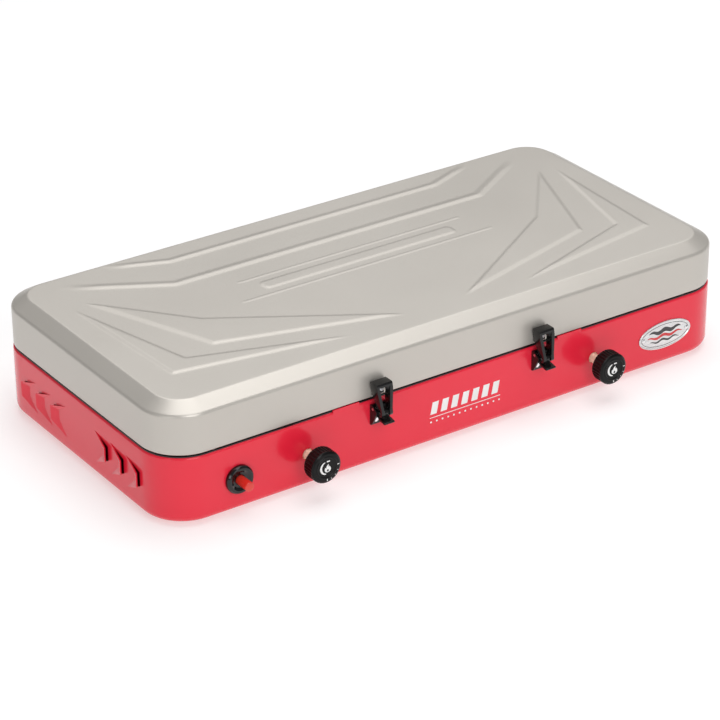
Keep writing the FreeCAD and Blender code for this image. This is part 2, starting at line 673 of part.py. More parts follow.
lx, rx = val("left_knob_x") - 50.0, val("right_knob_x") - 50.0
by = val("burner_y")
feature("left_igniter_wire", swept_tube(
    [(ix, -99.0, iz2), (ix, -72, iz2), (ix + 6, -40, 12), (lx, -16, 8), (lx, by, 8), (lx, by, 26.4)],
    7.0, 1.2, "left_igniter_wire"))
feature("right_igniter_wire", swept_tube(
    [(ix + 5.6, -104.0, iz2), (ix + 5.6, -84, iz2), (ix + 30, -66, 8), (-60, -70, 7), (60, -66, 7),
     (rx, -40, 7), (rx, by, 7), (rx, by, 26.4)], 8.0, 1.2, "right_igniter_wire"))
ins, tips = [], []
for x in (lx, rx):
    face = polygon_face([(0.95, 0, 29.5), (2.6, 0, 29.5), (2.6, 0, 40), (5.2, 0, 40), (5.2, 0, 42.9),
                         (3.2, 0, 42.9), (2.6, 0, 51), (0.95, 0, 52)])
    s = face.revolve(Vector(0, 0, 0), Vector(0, 0, 1), 360)
    s.translate(Vector(x, by, 0))
    ins.append(s)
    tips.append(swept_tube([(x, by, 26.4), (x, by, 54.8), (x + 9.5, by, 58.2)], 3.0, 0.9, "electrode"))
group("electrode_insulators", ins)
group("electrode_tips", tips)

# ================================================================= lid
LB, LM, LT = val("lid_bottom"), val("lid_bend"), val("lid_plateau")
li, bv = val("lid_inset"), val("lid_bevel")


def lid_block(inset, z0, zm, zt_, top_in, bend, crown):
    hx, hy, r = HX - inset, HY - inset, RC - inset
    wall = Part.Face(rounded_wire(hx, hy, r, z0)).extrude(Vector(0, 0, zm - z0))
    loft = Part.makeLoft([rounded_wire(hx, hy, r, zm),
                          rounded_wire(hx - top_in, hy - top_in, r - top_in, zt_)], True, True)
    s = wall.fuse(loft).removeSplitter()
    if bend:
        s = s.makeFillet(bend, level_edges(s, zm))
    if crown:
        s = s.makeFillet(crown, level_edges(s, zt_))
    return s


outer = lid_block(li, LB, LM, LT, bv - li, 3.0, 6.0)
inner = lid_block(li + T, LB - 1, LM - 0.6, LT - T, bv - li, 0, 0)
lid = outer.cut(inner)

# Embossed panels: flat-topped fields raised on sloping edges.
EM = val("emboss_height")


def raised(points, slope=3.6):
    """A raised field: its outline on the plateau, its top set in by slope."""
    n = len(points)
    area = sum(points[k][0] * points[(k + 1) % n][1] - points[(k + 1) % n][0] * points[k][1]
               for k in range(n))
    pts = points if area > 0 else points[::-1]
    lines = []
    for k in range(n):
        a, b = Vector(pts[k][0], pts[k][1], 0), Vector(pts[(k + 1) % n][0], pts[(k + 1) % n][1], 0)
        u = (b - a).normalize()
        nrm = Vector(-u.y, u.x, 0)
        lines.append((a + nrm * slope, u))
    top = []
    for k in range(n):
        p, u = lines[k - 1]
        q, v = lines[k]
        den = u.x * v.y - u.y * v.x
        s = ((q.x - p.x) * v.y - (q.y - p.y) * v.x) / den
        top.append((p + u * s))
    low = [(p[0], p[1], LT - 0.3) for p in pts]
    high = [(p.x, p.y, LT + EM) for p in top]
    faces = [polygon_face(low), polygon_face(high)]
    for k in range(n):
        m = (k + 1) % n
        faces.append(Part.Face(Part.makePolygon([Vector(*low[k]), Vector(*low[m]), Vector(*high[k]), Vector(*low[k])])))
        faces.append(Part.Face(Part.makePolygon([Vector(*low[m]), Vector(*high[m]), Vector(*high[k]), Vector(*low[m])])))
    return solid_of(faces)


fields = []
for s in (-1, 1):
    fields.append(raised([(s * 250.0, 74.0), (s * 198.3, -59.3), (s * 26.0, -108.7), (s * 180.5, -10.5)], 2.6))
    fields.append(raised([(s * 265.0, 73.0), (s * 254.6, -86.0), (s * 80.0, -115.4), (s * 228.7, -66.0)], 1.6))
fields.append(raised([(-252.0, 101.5), (-166.0, 53.5), (166.0, 53.5), (252.0, 101.5), (228.0, 101.5),
                      (150.0, 62.5), (-150.0, 62.5), (-228.0, 101.5)], 2.6))
fields.append(raised([(-200.0, 118.0), (-146.0, 97.0), (146.0, 97.0), (200.0, 118.0), (176.0, 118.0),
                      (132.0, 105.5), (-132.0, 105.5), (-176.0, 118.0)], 2.6))
lid = lid.fuse(fields)
lid_cuts = []
for _, x in latch_centres():
    for d in (-2.9, 2.9):
        lid_cuts.append(cyl(val("rivet_shank") + 0.03, 6, (x + d, -HY - 2, 71.8), (0, 1, 0)))
for s in (-1, 1):
    for dx in (-18, 18):
        lid_cuts.append(cyl(val("rivet_shank") + 0.03, 6, (s * val("hinge_x") + dx, HY - 4, 77.0), (0, 1, 0)))
lid = lid.cut(lid_cuts).removeSplitter()
feature("lid_shell", lid)

# ================================================================= hinges
hy_, hz_, hw = val("hinge_y"), val("hinge_z"), val("hinge_width")
kr_, kp = val("knuckle_radius"), val("hinge_pin")
hinge_pins, base_rivets, lid_rivets = [], [], []
for name, x in (("left", -val("hinge_x")), ("right", val("hinge_x"))):
    plate = box(x - hw / 2, x + hw / 2, HY, HY + 1.6, 41.0, hz_)
    barrels = [cyl(kr_, hw / 2 - 10, (x - hw / 2, hy_, hz_), (1, 0, 0)),
               cyl(kr_, hw / 2 - 10, (x + 10, hy_, hz_), (1, 0, 0))]
    leaf = plate.fuse(barrels)
    leaf = leaf.cut([box(x - 10, x + 10, HY - 1, HY + 6, 58.5, hz_ + 5),
                     cyl(kp, hw + 4, (x - hw / 2 - 2, hy_, hz_), (1, 0, 0))]
                    + [cyl(val("rivet_shank") + 0.03, 6, (x + d, HY - 2, 50.0), (0, 1, 0)) for d in (-18, 18)])
    feature(name + "_hinge_base_leaf", leaf.removeSplitter())
    yl = HY - li
    upper = box(x - hw / 2, x + hw / 2, yl, yl + 1.5, 67.5, 86.0)
    tongue = polygon_face([(x - 9.6, yl, 65.4), (x - 9.6, yl, 70), (x - 9.6, yl + 1.5, 70),
                           (x - 9.6, yl + 2.2, 68.6), (x - 9.6, hy_ + 1.5, 66.6), (x - 9.6, hy_ + 1.0, 62.8),
                           (x - 9.6, hy_ - 2.6, 63.4)]).extrude(Vector(19.2, 0, 0))
    knuckle = cyl(kr_, 19.2, (x - 9.6, hy_, hz_), (1, 0, 0))
    lleaf = upper.fuse([tongue, knuckle]).cut(
        [cyl(kp + val("running_gap"), 24, (x - 12, hy_, hz_), (1, 0, 0))]
        + [cyl(val("rivet_shank") + 0.03, 6, (x + d, yl - 2, 77.0), (0, 1, 0)) for d in (-18, 18)])
    feature(name + "_hinge_lid_leaf", lleaf.removeSplitter())
    hinge_pins.append(cyl(kp, hw, (x - hw / 2, hy_, hz_), (1, 0, 0)))
    for d in (-18, 18):
        base_rivets.append(rivet(x + d, HY + 1.6, 50.0, (0, -1, 0), 1.6 + T, val("rivet_head"), val("rivet_shank")))
        lid_rivets.append(rivet(x + d, yl + 1.5, 77.0, (0, -1, 0), 1.5 + T, val("rivet_head"), val("rivet_shank")))
group("hinge_pins", hinge_pins)
group("hinge_base_rivets", base_rivets)
group("hinge_lid_rivets", lid_rivets)

# ================================================================= latches
# Side profiles are given as (out, z), out being the distance in front of the
# tub's front wall.
def outp(points):
    return [(-HY - o, z) for o, z in points]


P0 = (4.2, 55.6)      # lever pivot on the bracket
P1 = (11.4, 54.2)     # draw-arm pivot on the lever
bracket_rivets, keeper_rivets = [], []
for name, x in latch_centres():
    half = val("latch_width") / 2 - 0.2
    # bracket: riveted back plate with two cheeks that hold the lever's pivot
    bracket = rail_x(name + "_latch_bracket", x, outp([(0, 39.6), (2.0, 39.6), (2.0, 58.6), (0, 58.6)]),
                     dim("latch_width") - 0.4)
    for s, tag in ((-1, "a"), (1, "b")):
        sk = new_sketch(bracket, "YZ_Plane", name + "_cheek_" + tag, s * (half - 0.75))
        draw_polygon(sk, outp([(1.0, 40.2), (3.4, 40.8), (7.6, 48.6), (9.9, 53.8), (9.9, 54.9),
                               (3.4, 59.2), (1.0, 59.2)]))
        add_pad(bracket, sk, 1.5, midplane=True)
    sk = new_sketch(bracket, "YZ_Plane", name + "_bracket_pin_hole", 0.0)
    draw_circle(sk, -HY - P0[0], P0[1], 1.3)
    add_pocket(bracket, sk, 20.0, midplane=True)
    sk = new_sketch(bracket, "XZ_Plane", name + "_bracket_rivet_holes", HY + 4.0)
    draw_circle(sk, -2.7, 44.0, 1.63)
    draw_circle(sk, 2.7, 44.0, 1.63)
    add_pocket(bracket, sk, 6.0)
    # lever: pivot boss, sloping plate with a flared finger tab, and a lug
    lever = rail_x(name + "_latch_lever", x,
                   outp([(2.4, 56.3), (3.2, 57.4), (4.6, 57.6), (6.0, 56.6), (6.8, 53.2), (10.6, 48.7),
                         (17.8, 47.2), (18.5, 46.6), (18.3, 45.7), (16.8, 45.7), (9.9, 46.7), (3.2, 53.8),
                         (2.4, 54.9)]),
                   dim("lever_width"))
    sk = new_sketch(lever, "YZ_Plane", name + "_lever_lug", 0.0)
    draw_polygon(sk, outp([(6.0, 53.8), (6.4, 55.4), (8.6, 57.0), (11.0, 57.0), (13.2, 56.2), (14.1, 54.2),
                           (13.6, 52.0), (12.4, 47.6), (10.4, 47.6), (8.6, 50.0)]))
    add_pad(lever, sk, 4.4, midplane=True)
    sk = new_sketch(lever, "YZ_Plane", name + "_lever_bore", 0.0)
    draw_circle(sk, -HY - P0[0], P0[1], 1.3 + 0.05)
    draw_circle(sk, -HY - P1[0], P1[1], 1.1)
    add_pocket(lever, sk, 20.0, midplane=True)
    lp = new_body(name + "_latch_lever_pin", x, 0.0, 0.0)
    sk = new_sketch(lp, "YZ_Plane", name + "_lever_pin_section", 0.0)
    draw_circle(sk, -HY - P0[0], P0[1], 1.3)
    add_pad(lp, sk, dim("latch_width") - 0.4, midplane=True)
    ap = new_body(name + "_draw_arm_pin", x, 0.0, 0.0)
    sk = new_sketch(ap, "YZ_Plane", name + "_arm_pin_section", 0.0)
    draw_circle(sk, -HY - P1[0], P1[1], 1.1)
    add_pad(ap, sk, 10.4, midplane=True)
    # draw arm: two rails joined at the foot hub and by a box-shaped cap above
    side = outp([(10.2, 51.4), (12.4, 50.8), (14.4, 51.6), (15.2, 53.4), (14.9, 56.0), (11.2, 79.6),
                 (10.2, 81.0), (1.1, 81.0), (1.1, 75.0), (4.4, 64.6), (9.2, 54.4)])
    face = polygon_face([(x - 8.0, y, z) for y, z in side])
    arm = face.extrude(Vector(16.0, 0, 0))
    wedge = []
    for s in (-1, 1):
        pts = [(x + s * 5.7, -170, 48), (x + s * 5.7, -170, 58), (x + s * 8.0, -170, 74), (x + s * 12, -170, 74),
               (x + s * 12, -170, 48)]
        wedge.append(polygon_face(pts).extrude(Vector(0, 40, 0)))
    arm = arm.cut(wedge)
    # cavity behind the front wall of the cap, open to the lid
    cavity = polygon_face([(x - 6.25, y, z) for y, z in outp(
        [(0, 50), (0, 78.3), (8.7, 78.3), (10.3, 66), (13.5, 45)])]).extrude(Vector(12.5, 0, 0))
    narrow = []
    for s in (-1, 1):
        pts = [(x + s * 2.6, -175, 40), (x + s * 2.6, -175, 58), (x + s * 6.25, -175, 70), (x + s * 9, -175, 70),
               (x + s * 9, -175, 40)]
        narrow.append(polygon_face(pts).extrude(Vector(0, 60, 0)))
    cavity = cavity.cut(narrow)
    window = polygon_face([(x - 3.1, -175, 57.6), (x + 3.1, -175, 57.6), (x + 5.2, -175, 77.6),
                           (x - 5.2, -175, 77.6)]).extrude(Vector(0, 40, 0))
    slot = box(x - 2.6, x + 2.6, -175, -140, 45, 58)
    arm = arm.cut([cavity, window, slot, cyl(1.15, 30, (x - 15, -HY - P1[0], P1[1]), (1, 0, 0))])
    feature(name + "_draw_arm", arm.removeSplitter())
    # keeper on the lid: a riveted plate with a ledge that the cap pulls down on
    yk = -HY + li
    keeper = new_body(name + "_keeper", x, 0.0, 0.0)
    sk = new_sketch(keeper, "YZ_Plane", name + "_keeper_side", 0.0)
    draw_polygon(sk, [(yk, 67.0), (yk, 77.6), (-HY - 0.6, 77.6), (-HY - 5.0, 77.9), (-HY - 5.0, 75.6),
                      (-HY - 1.8, 75.0), (-HY - 1.8, 67.0)])
    add_pad(keeper, sk, dim("keeper_width"), midplane=True)
    sk = new_sketch(keeper, "XZ_Plane", name + "_keeper_rivet_hole", HY + 3.0)
    draw_circle(sk, -2.9, 71.8, 1.63)
    draw_circle(sk, 2.9, 71.8, 1.63)
    add_pocket(keeper, sk, 6.0)
    for d in (-2.9, 2.9):
        keeper_rivets.append(rivet(x + d, -HY - 1.8, 71.8, (0, 1, 0), 1.8 + li + T, 2.5, val("rivet_shank")))
    for d in (-2.7, 2.7):
        bracket_rivets.append(rivet(x + d, -HY - 2.0, 44.0, (0, 1, 0), 2.0 + T, 2.4, val("rivet_shank")))
group("latch_bracket_rivets", bracket_rivets)
group("keeper_rivets", keeper_rivets)

# ================================================================= badge
bw, bh, bt = val("badge_width") / 2, val("badge_height") / 2, val("badge_thickness")
bx, bz = val("badge_x"), val("badge_z")
oval = Part.Ellipse(Vector(0, 0, 0), bw, bh).toShape()
oval = Part.Face(Part.Wire([oval])).extrude(Vector(0, 0, bt))
rim = Part.Face(Part.Wire([Part.Ellipse(Vector(0, 0, 0), bw - 1.3, bh - 1.3).toShape()])).extrude(Vector(0, 0, 1))
rim.translate(Vector(0, 0, bt - 0.25))
plate = oval.cut(rim)
plate.rotate(Vector(0, 0, 0), Vector(1, 0, 0), 90)
plate.translate(Vector(bx, -HY, bz))
dots = []
for s in (-1, 1):
    px_ = bx + s * val("badge_rivet_pitch") / 2
    plate = plate.cut(cyl(1.23, 8, (px_, -HY - 4, bz), (0, 1, 0)))
    dots.append(rivet(px_, -HY - bt + 0.25, bz, (0, 1, 0), bt - 0.25 + T, 2.1, 1.2, 0.8))
feature("badge_plate", plate)
group("badge_rivets", dots)

# ================================================================= windscreens
sh, sz, sg, sr = val("screen_hinge_x"), val("screen_z"), val("screen_gauge"), val("screen_rod")
REACH = val("screen_reach")
for name, s in (("left", -1), ("right", 1)):
    hx = s * sh
    pts = [(hx - s * 3.0, 118.0), (hx - s * 70.0, 118.0), (hx - s * REACH, 78.0), (hx - s * REACH, -96.0),
           (hx - s * (REACH - 14), -112.0), (hx - s * 3.0, -112.0)]
    panel = polygon_face([(px1, py1, sz - sg / 2) for px1, py1 in pts]).extrude(Vector(0, 0, sg))
    rolls = []
    for y0, y1 in ((-108.0, -60.0), (-30.0, 40.0), (70.0, 112.0)):
        rolls.append(cyl(sr + 1.0, y1 - y0, (hx, y0, sz), (0, 1, 0)).fuse(
            box(min(hx, hx - s * 5), max(hx, hx - s * 5), y0, y1, sz - sg / 2, sz + sg / 2)))
    ribs = []
    for off in (46.0, 96.0):
        ribs.append(cyl(1.2, 150.0, (hx - s * off, -84, sz - sg / 2 + 0.6), (0, 1, 0)))
    screen = panel.fuse(rolls + ribs).cut(cyl(sr + val("running_gap"), 240, (hx, -120, sz), (0, 1, 0)))
    feature(name + "_windscreen", screen.removeSplitter())
    feature(name + "_windscreen_rod", cyl(sr, 226.0, (hx, -110.0, sz), (0, 1, 0)))
    wall_x = s * (HX - li - T)
    straps = [box(min(wall_x, wall_x - s * 1.2), max(wall_x, wall_x - s * 1.2), -58.0, 68.0, 88.0, 96.0)]
    for y0, y1 in ((-57.0, -33.0), (43.0, 67.0)):
        arm_ = polygon_face([(wall_x, y0, 88.0), (wall_x, y0, 96.0), (hx + s * 1.0, y0, sz + 2.4),
                             (hx + s * 1.0, y0, sz - 2.4),
                             (wall_x - s * 2.5, y0, 88.0)]).extrude(Vector(0, y1 - y0, 0))
        straps.append(arm_)
        straps.append(cyl(sr + 1.2, y1 - y0, (hx, y0, sz), (0, 1, 0)))
    mount = straps[0].fuse(straps[1:]).cut(cyl(sr, 240, (hx, -120, sz), (0, 1, 0)))
    feature(name + "_windscreen_mount", mount.removeSplitter())

# ================================================================= grate
gx, gf, gr = val("grate_half_x"), val("grate_front"), val("grate_rear")
rf, rw = val("grate_frame_rod"), val("grate_wire")
zf = zt + g + rf
zw = zf + rf - rw
k = 22.0
mid_y = (gf + gr) / 2
hyg = (gr - gf) / 2
frame_path = rounded_wire(gx, hyg, k, zf)
frame_path.translate(Vector(0, mid_y, 0))
start = frame_path.Edges[0].valueAt(frame_path.Edges[0].FirstParameter)
tangent = frame_path.Edges[0].tangentAt(frame_path.Edges[0].FirstParameter)
frame = frame_path.makePipeShell([Part.Wire([Part.makeCircle(rf, start, tangent)])], True, True)
wires = []
xs = [-264 + 24.0 * n for n in range(23)]
cutters, rings = [], []
for x in (val("left_knob_x"), val("right_knob_x")):
    cutters.append(cyl(31.0, 20, (x, by, zw - 10), (0, 0, 1)))
    rings.append(Part.makeTorus(31.0, rw, Vector(x, by, zw), Vector(0, 0, 1)))
for x in xs:
    w = cyl(rw, gr - gf, (x, gf, zw), (0, 1, 0))
    hit = [c for c in cutters if abs((c.BoundBox.XMin + c.BoundBox.XMax) / 2 - x) < 33.0]
    if hit:
        w = w.cut(hit)
    wires.append(w)
for y in (gf + 52, gr - 52):
    wires.append(cyl(rf - 0.2, 542.0, (-271.0, y, zw - rw - rf + 1.0), (1, 0, 0)))
grate = frame.fuse(wires + rings)
feature("cooking_grate", grate)

# ================================================================= checks, export
doc.recompute()
bad = []
for obj in doc.Objects:
    if "Invalid" in obj.State or "Error" in obj.State:
        bad.append("%s state %s" % (obj.Label, obj.State))
labels = set()
for obj in PARTS:
    s = obj.Shape
    if s.isNull() or not s.isValid() or not s.Solids:
        bad.append("%s has no valid solid" % obj.Label)
    elif any(q.Volume <= 0 for q in s.Solids):
        bad.append("%s has an inside-out solid" % obj.Label)
    if obj.Label in labels:
        bad.append("%s is named twice" % obj.Label)
    labels.add(obj.Label)
if bad:
    for line in bad:
        print("FAILED", line)
    sys.exit(1)
for name in os.listdir("parts"):
    if name.endswith(".step") and name[:-5] not in labels:
        os.remove(os.path.join("parts", name))
for obj in PARTS:
    obj.Shape.exportStep(os.path.join("parts", obj.Label + ".step"))
    print("%-26s solids %2d  volume %10.1f mm3" % (obj.Label, len(obj.Shape.Solids), obj.Shape.Volume))
total = Part.makeCompound([o.Shape for o in PARTS]).BoundBox
print(len(PARTS), "sub-parts", "X %.2f %.2f Y %.2f %.2f Z %.2f %.2f" % (
    total.XMin, total.XMax, total.YMin, total.YMax, total.ZMin, total.ZMax))
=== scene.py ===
import bpy
import bmesh
import json
import math
import numpy as np
from mathutils import Matrix, Vector


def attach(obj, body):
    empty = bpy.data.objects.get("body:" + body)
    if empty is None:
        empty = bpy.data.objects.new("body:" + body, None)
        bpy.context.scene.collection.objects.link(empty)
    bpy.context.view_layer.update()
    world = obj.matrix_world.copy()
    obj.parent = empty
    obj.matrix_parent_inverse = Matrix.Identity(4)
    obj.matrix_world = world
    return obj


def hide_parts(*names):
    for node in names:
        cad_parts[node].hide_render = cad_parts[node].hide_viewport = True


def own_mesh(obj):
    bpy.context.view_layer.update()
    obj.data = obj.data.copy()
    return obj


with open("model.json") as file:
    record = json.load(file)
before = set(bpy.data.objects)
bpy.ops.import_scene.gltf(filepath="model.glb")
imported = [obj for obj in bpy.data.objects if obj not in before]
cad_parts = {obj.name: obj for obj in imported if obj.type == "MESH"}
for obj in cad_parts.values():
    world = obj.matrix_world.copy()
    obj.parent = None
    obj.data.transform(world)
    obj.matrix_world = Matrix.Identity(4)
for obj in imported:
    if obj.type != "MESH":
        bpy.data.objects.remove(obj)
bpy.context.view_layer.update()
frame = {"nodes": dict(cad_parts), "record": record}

# The camping stove's visible surfaces.  Lengths below are millimetres in the
# stove's body frame (x = 0, y = 0 in the middle of the tub, z = 0 under it);
# row() lifts them onto the feet and turns them into metres.
OFF_Y, OFF_Z = 10.5, 3.0
NODES = frame["nodes"]
RECORD = frame["record"]
SLOT_OF = {s["node"]: s["material_slot"] for s in RECORD["subparts"]}
BODY_OF = {n: b for b, ns in RECORD["behaviour"]["bodies"].items() for n in ns}
HX, HY = 298.5, 144.0


def row(x, y, z):
    return Vector((x / 1000.0, (y + OFF_Y) / 1000.0, (z + OFF_Z) / 1000.0))


# ------------------------------------------------------------------ camera
cam_data = bpy.data.cameras.new("camera")
cam = bpy.data.objects.new("camera", cam_data)
bpy.context.scene.collection.objects.link(cam)
cam_data.sensor_width = 36.0
cam_data.sensor_fit = "HORIZONTAL"
cam_data.lens = 142.803
cam_data.clip_start, cam_data.clip_end = 0.05, 60.0
right = Vector((0.8246379771558783, -0.5656288657396338, -0.006016051392453675))
down = Vector((-0.2657086859792159, -0.3779474062146617, -0.8868791644473382))
ahead = Vector((0.4993707048150298, 0.7329527572618209, -0.46196228719976196))
m = Matrix.Identity(4)
for i in range(3):
    m[i][0], m[i][1], m[i][2] = right[i], -down[i], -ahead[i]
m[0][3], m[1][3], m[2][3] = -1.299243, -1.883567, 1.209938
cam.matrix_world = m
bpy.context.scene.camera = cam


# ------------------------------------------------------------------ materials
def new_material(name):
    mat = bpy.data.materials.new(name)
    mat.use_nodes = True
    nt = mat.node_tree
    nt.nodes.clear()
    out = nt.nodes.new("ShaderNodeOutputMaterial")
    bsdf = nt.nodes.new("ShaderNodeBsdfPrincipled")
    nt.links.new(bsdf.outputs["BSDF"], out.inputs["Surface"])
    return mat, nt, bsdf


def object_coords(nt, scale=(1, 1, 1)):
    tc = nt.nodes.new("ShaderNodeTexCoord")
    mp = nt.nodes.new("ShaderNodeMapping")
    mp.inputs["Scale"].default_value = scale
    nt.links.new(tc.outputs["Object"], mp.inputs["Vector"])
    return mp.outputs["Vector"]


def noise(nt, vec, scale, detail=4.0, rough=0.55):
    n = nt.nodes.new("ShaderNodeTexNoise")
    n.inputs["Scale"].default_value = scale
    n.inputs["Detail"].default_value = detail
    n.inputs["Roughness"].default_value = rough
    nt.links.new(vec, n.inputs["Vector"])
    return n.outputs["Fac"]


def ramp(nt, fac, stops):
    r = nt.nodes.new("ShaderNodeValToRGB")
    while len(r.color_ramp.elements) < len(stops):
        r.color_ramp.elements.new(0.5)
    for e, (p, c) in zip(r.color_ramp.elements, stops):
        e.position = p
        e.color = (c, c, c, 1) if isinstance(c, float) else (c[0], c[1], c[2], 1)
    nt.links.new(fac, r.inputs["Fac"])
    return r.outputs["Color"]


def mix_rgb(nt, fac, a, b, blend="MIX"):
    n = nt.nodes.new("ShaderNodeMix")
    n.data_type = "RGBA"
    n.blend_type = blend
    for sock, v in ((n.inputs[0], fac), (n.inputs[6], a), (n.inputs[7], b)):
        if hasattr(v, "is_linked"):
            nt.links.new(v, sock)
        elif isinstance(v, float):
            sock.default_value = v
        else:
            sock.default_value = (v[0], v[1], v[2], 1)
    return n.outputs[2]


def maths(nt, op, a, b=0.0, c=0.0, clamp=False):
    n = nt.nodes.new("ShaderNodeMath")
    n.operation = op
    n.use_clamp = clamp
    for sock, v in zip(n.inputs, (a, b, c)):
        if hasattr(v, "is_linked"):
            nt.links.new(v, sock)
        else:
            sock.default_value = v
    return n.outputs[0]


def add_bump(nt, bsdf, height, distance, strength=1.0, chain=None):
    b = nt.nodes.new("ShaderNodeBump")
    b.inputs["Strength"].default_value = strength
    b.inputs["Distance"].default_value = distance
    nt.links.new(height, b.inputs["Height"])
    if chain is not None:
        nt.links.new(chain, b.inputs["Normal"])
    nt.links.new(b.outputs["Normal"], bsdf.inputs["Normal"])
    return b.outputs["Normal"]


def surface(name, dark, light, rough, metallic=0.0, specular=0.5, coat=0.0, coat_rough=0.1,
            blotch=9.0, grain=700.0, grain_depth=0.00003, grain_amount=0.5, stretch=(1, 1, 1),
            ripple=0.4):
    """A procedural finish: two-tone colour drift at two scales, roughness that
    follows the drift, a fine surface grain and a slower ripple under it."""
    mat, nt, bsdf = new_material(name)
    vec = object_coords(nt, stretch)
    big = noise(nt, vec, blotch, 3.0, 0.6)
    fine = noise(nt, vec, grain, 2.0, 0.5)
    drift = ramp(nt, big, [(0.32, 0.0), (0.68, 1.0)])
    speck = ramp(nt, fine, [(0.3, 0.0), (0.7, 1.0)])
    col = mix_rgb(nt, drift, dark, light)
    col = mix_rgb(nt, maths(nt, "MULTIPLY", speck, 0.35 * grain_amount), col, light)
    nt.links.new(col, bsdf.inputs["Base Color"])
    spread = maths(nt, "MULTIPLY_ADD", drift, (rough[1] - rough[0]) * 0.7, rough[0])
    spread = maths(nt, "MULTIPLY_ADD", speck, (rough[1] - rough[0]) * 0.3, spread)
    nt.links.new(spread, bsdf.inputs["Roughness"])
    bsdf.inputs["Metallic"].default_value = metallic
    bsdf.inputs["Specular IOR Level"].default_value = specular
    bsdf.inputs["Coat Weight"].default_value = coat
    bsdf.inputs["Coat Roughness"].default_value = coat_rough
    if grain_depth:
        n1 = add_bump(nt, bsdf, fine, grain_depth, 0.6)
        if ripple:
            add_bump(nt, bsdf, noise(nt, vec, grain * 0.18, 3.0, 0.5), grain_depth * 2.5, ripple, n1)
    return mat


MATS = {}
MATS["red_paint"] = surface("coral_red_gloss_paint", (0.76, 0.016, 0.040), (0.80, 0.019, 0.047), (0.20, 0.25),
                            specular=0.38, coat=0.22, coat_rough=0.07, blotch=4.0, grain=1100.0,
                            grain_depth=0.000004, grain_amount=0.2, ripple=0.0)
MATS["lid_paint"] = surface("satin_warm_silver_paint", (0.525, 0.494, 0.451), (0.565, 0.534, 0.490), (0.37, 0.44),
                            metallic=0.52, specular=0.45, coat=0.04, coat_rough=0.3, blotch=4.0, grain=1500.0,
                            grain_depth=0.000010, grain_amount=0.8, ripple=0.15)
MATS["screen_steel"] = surface("screen_silver_paint", (0.48, 0.455, 0.42), (0.56, 0.535, 0.495), (0.38, 0.5),
                               metallic=0.3, blotch=7.0, grain=1300.0, grain_depth=0.00001)
MATS["black_enamel"] = surface("speckled_black_enamel", (0.0045, 0.0045, 0.005), (0.012, 0.012, 0.013), (0.16, 0.28),
                               specular=0.36, coat=0.22, coat_rough=0.08, blotch=12.0, grain=420.0,
                               grain_depth=0.00003, grain_amount=1.0)
MATS["foot_rubber"] = surface("matt_foot_rubber", (0.014, 0.014, 0.014), (0.030, 0.030, 0.030), (0.75, 0.9),
                              specular=0.25, blotch=60.0, grain=900.0, grain_depth=0.00006)
MATS["black_plastic"] = surface("moulded_black_satin", (0.0030, 0.0028, 0.0030), (0.0065, 0.0060, 0.0062), (0.20, 0.30),
                                specular=0.26, coat=0.35, coat_rough=0.12, blotch=40.0, grain=1600.0,
                                grain_depth=0.00002)
MATS["gloss_black"] = surface("gloss_black_moulding", (0.0025, 0.0025, 0.003), (0.005, 0.005, 0.0055), (0.07, 0.13),
                              specular=0.42, coat=0.18, coat_rough=0.05, blotch=30.0, grain=500.0,
                              grain_depth=0.000006)
MATS["red_plastic"] = surface("gloss_red_moulding", (0.62, 0.020, 0.012), (0.74, 0.040, 0.022), (0.18, 0.28),
                              specular=0.5, coat=0.3, coat_rough=0.1, blotch=60.0, grain=900.0,
                              grain_depth=0.00001)
MATS["cast_alloy"] = surface("cast_burner_alloy", (0.36, 0.36, 0.365), (0.52, 0.52, 0.525), (0.42, 0.62),
                             metallic=0.9, blotch=50.0, grain=600.0, grain_depth=0.00010)
MATS["burner_steel"] = surface("turned_burner_steel", (0.30, 0.285, 0.27), (0.46, 0.44, 0.42), (0.26, 0.42),
                               metallic=1.0, blotch=35.0, grain=900.0, grain_depth=0.00004,
                               stretch=(1, 1, 6))
MATS["brass"] = surface("machined_brass", (0.72, 0.47, 0.25), (0.86, 0.62, 0.38), (0.20, 0.34), metallic=0.9,
                        blotch=45.0, grain=1200.0, grain_depth=0.00002)
MATS["plated_steel"] = surface("zinc_plated_steel", (0.50, 0.505, 0.52), (0.68, 0.68, 0.68), (0.22, 0.38),
                               metallic=1.0, blotch=30.0, grain=1000.0, grain_depth=0.00002)
MATS["bright_rivet"] = surface("bright_rivet_alloy", (0.74, 0.74, 0.75), (0.90, 0.90, 0.91), (0.14, 0.26),
                               metallic=1.0, blotch=120.0, grain=1500.0, grain_depth=0.00002)
MATS["nickel_wire"] = surface("nickel_plated_wire", (0.60, 0.58, 0.55), (0.76, 0.74, 0.71), (0.12, 0.24),
                              metallic=1.0, blotch=25.0, grain=900.0, grain_depth=0.00002)
MATS["ceramic"] = surface("white_glazed_ceramic", (0.74, 0.72, 0.68), (0.86, 0.85, 0.82), (0.12, 0.22),
                          specular=0.55, coat=0.4, coat_rough=0.06, blotch=60.0, grain=700.0,
                          grain_depth=0.00001)
MATS["wire_sleeve"] = surface("braided_wire_sleeve", (0.02, 0.02, 0.02), (0.06, 0.06, 0.06), (0.55, 0.75),
                              specular=0.3, blotch=90.0, grain=1800.0, grain_depth=0.00012)
MATS["badge_metal"] = surface("brushed_badge_plate", (0.60, 0.60, 0.605), (0.80, 0.80, 0.80), (0.18, 0.34),
                              metallic=0.85, blotch=20.0, grain=260.0, grain_depth=0.00001,
                              stretch=(1, 30, 30))
# Valve stem: brass, with a pink copper tint in its base colour that is partly a painted reflection of the red front
# panel.
STEM_BRASS_PAINTED_REFLECTION = surface("brass_stem_painted_red_reflection", (0.84, 0.50, 0.36), (0.95, 0.66, 0.52), (0.38, 0.52), metallic=0.25,
                     specular=0.7, blotch=60.0, grain=1400.0, grain_depth=0.00002)
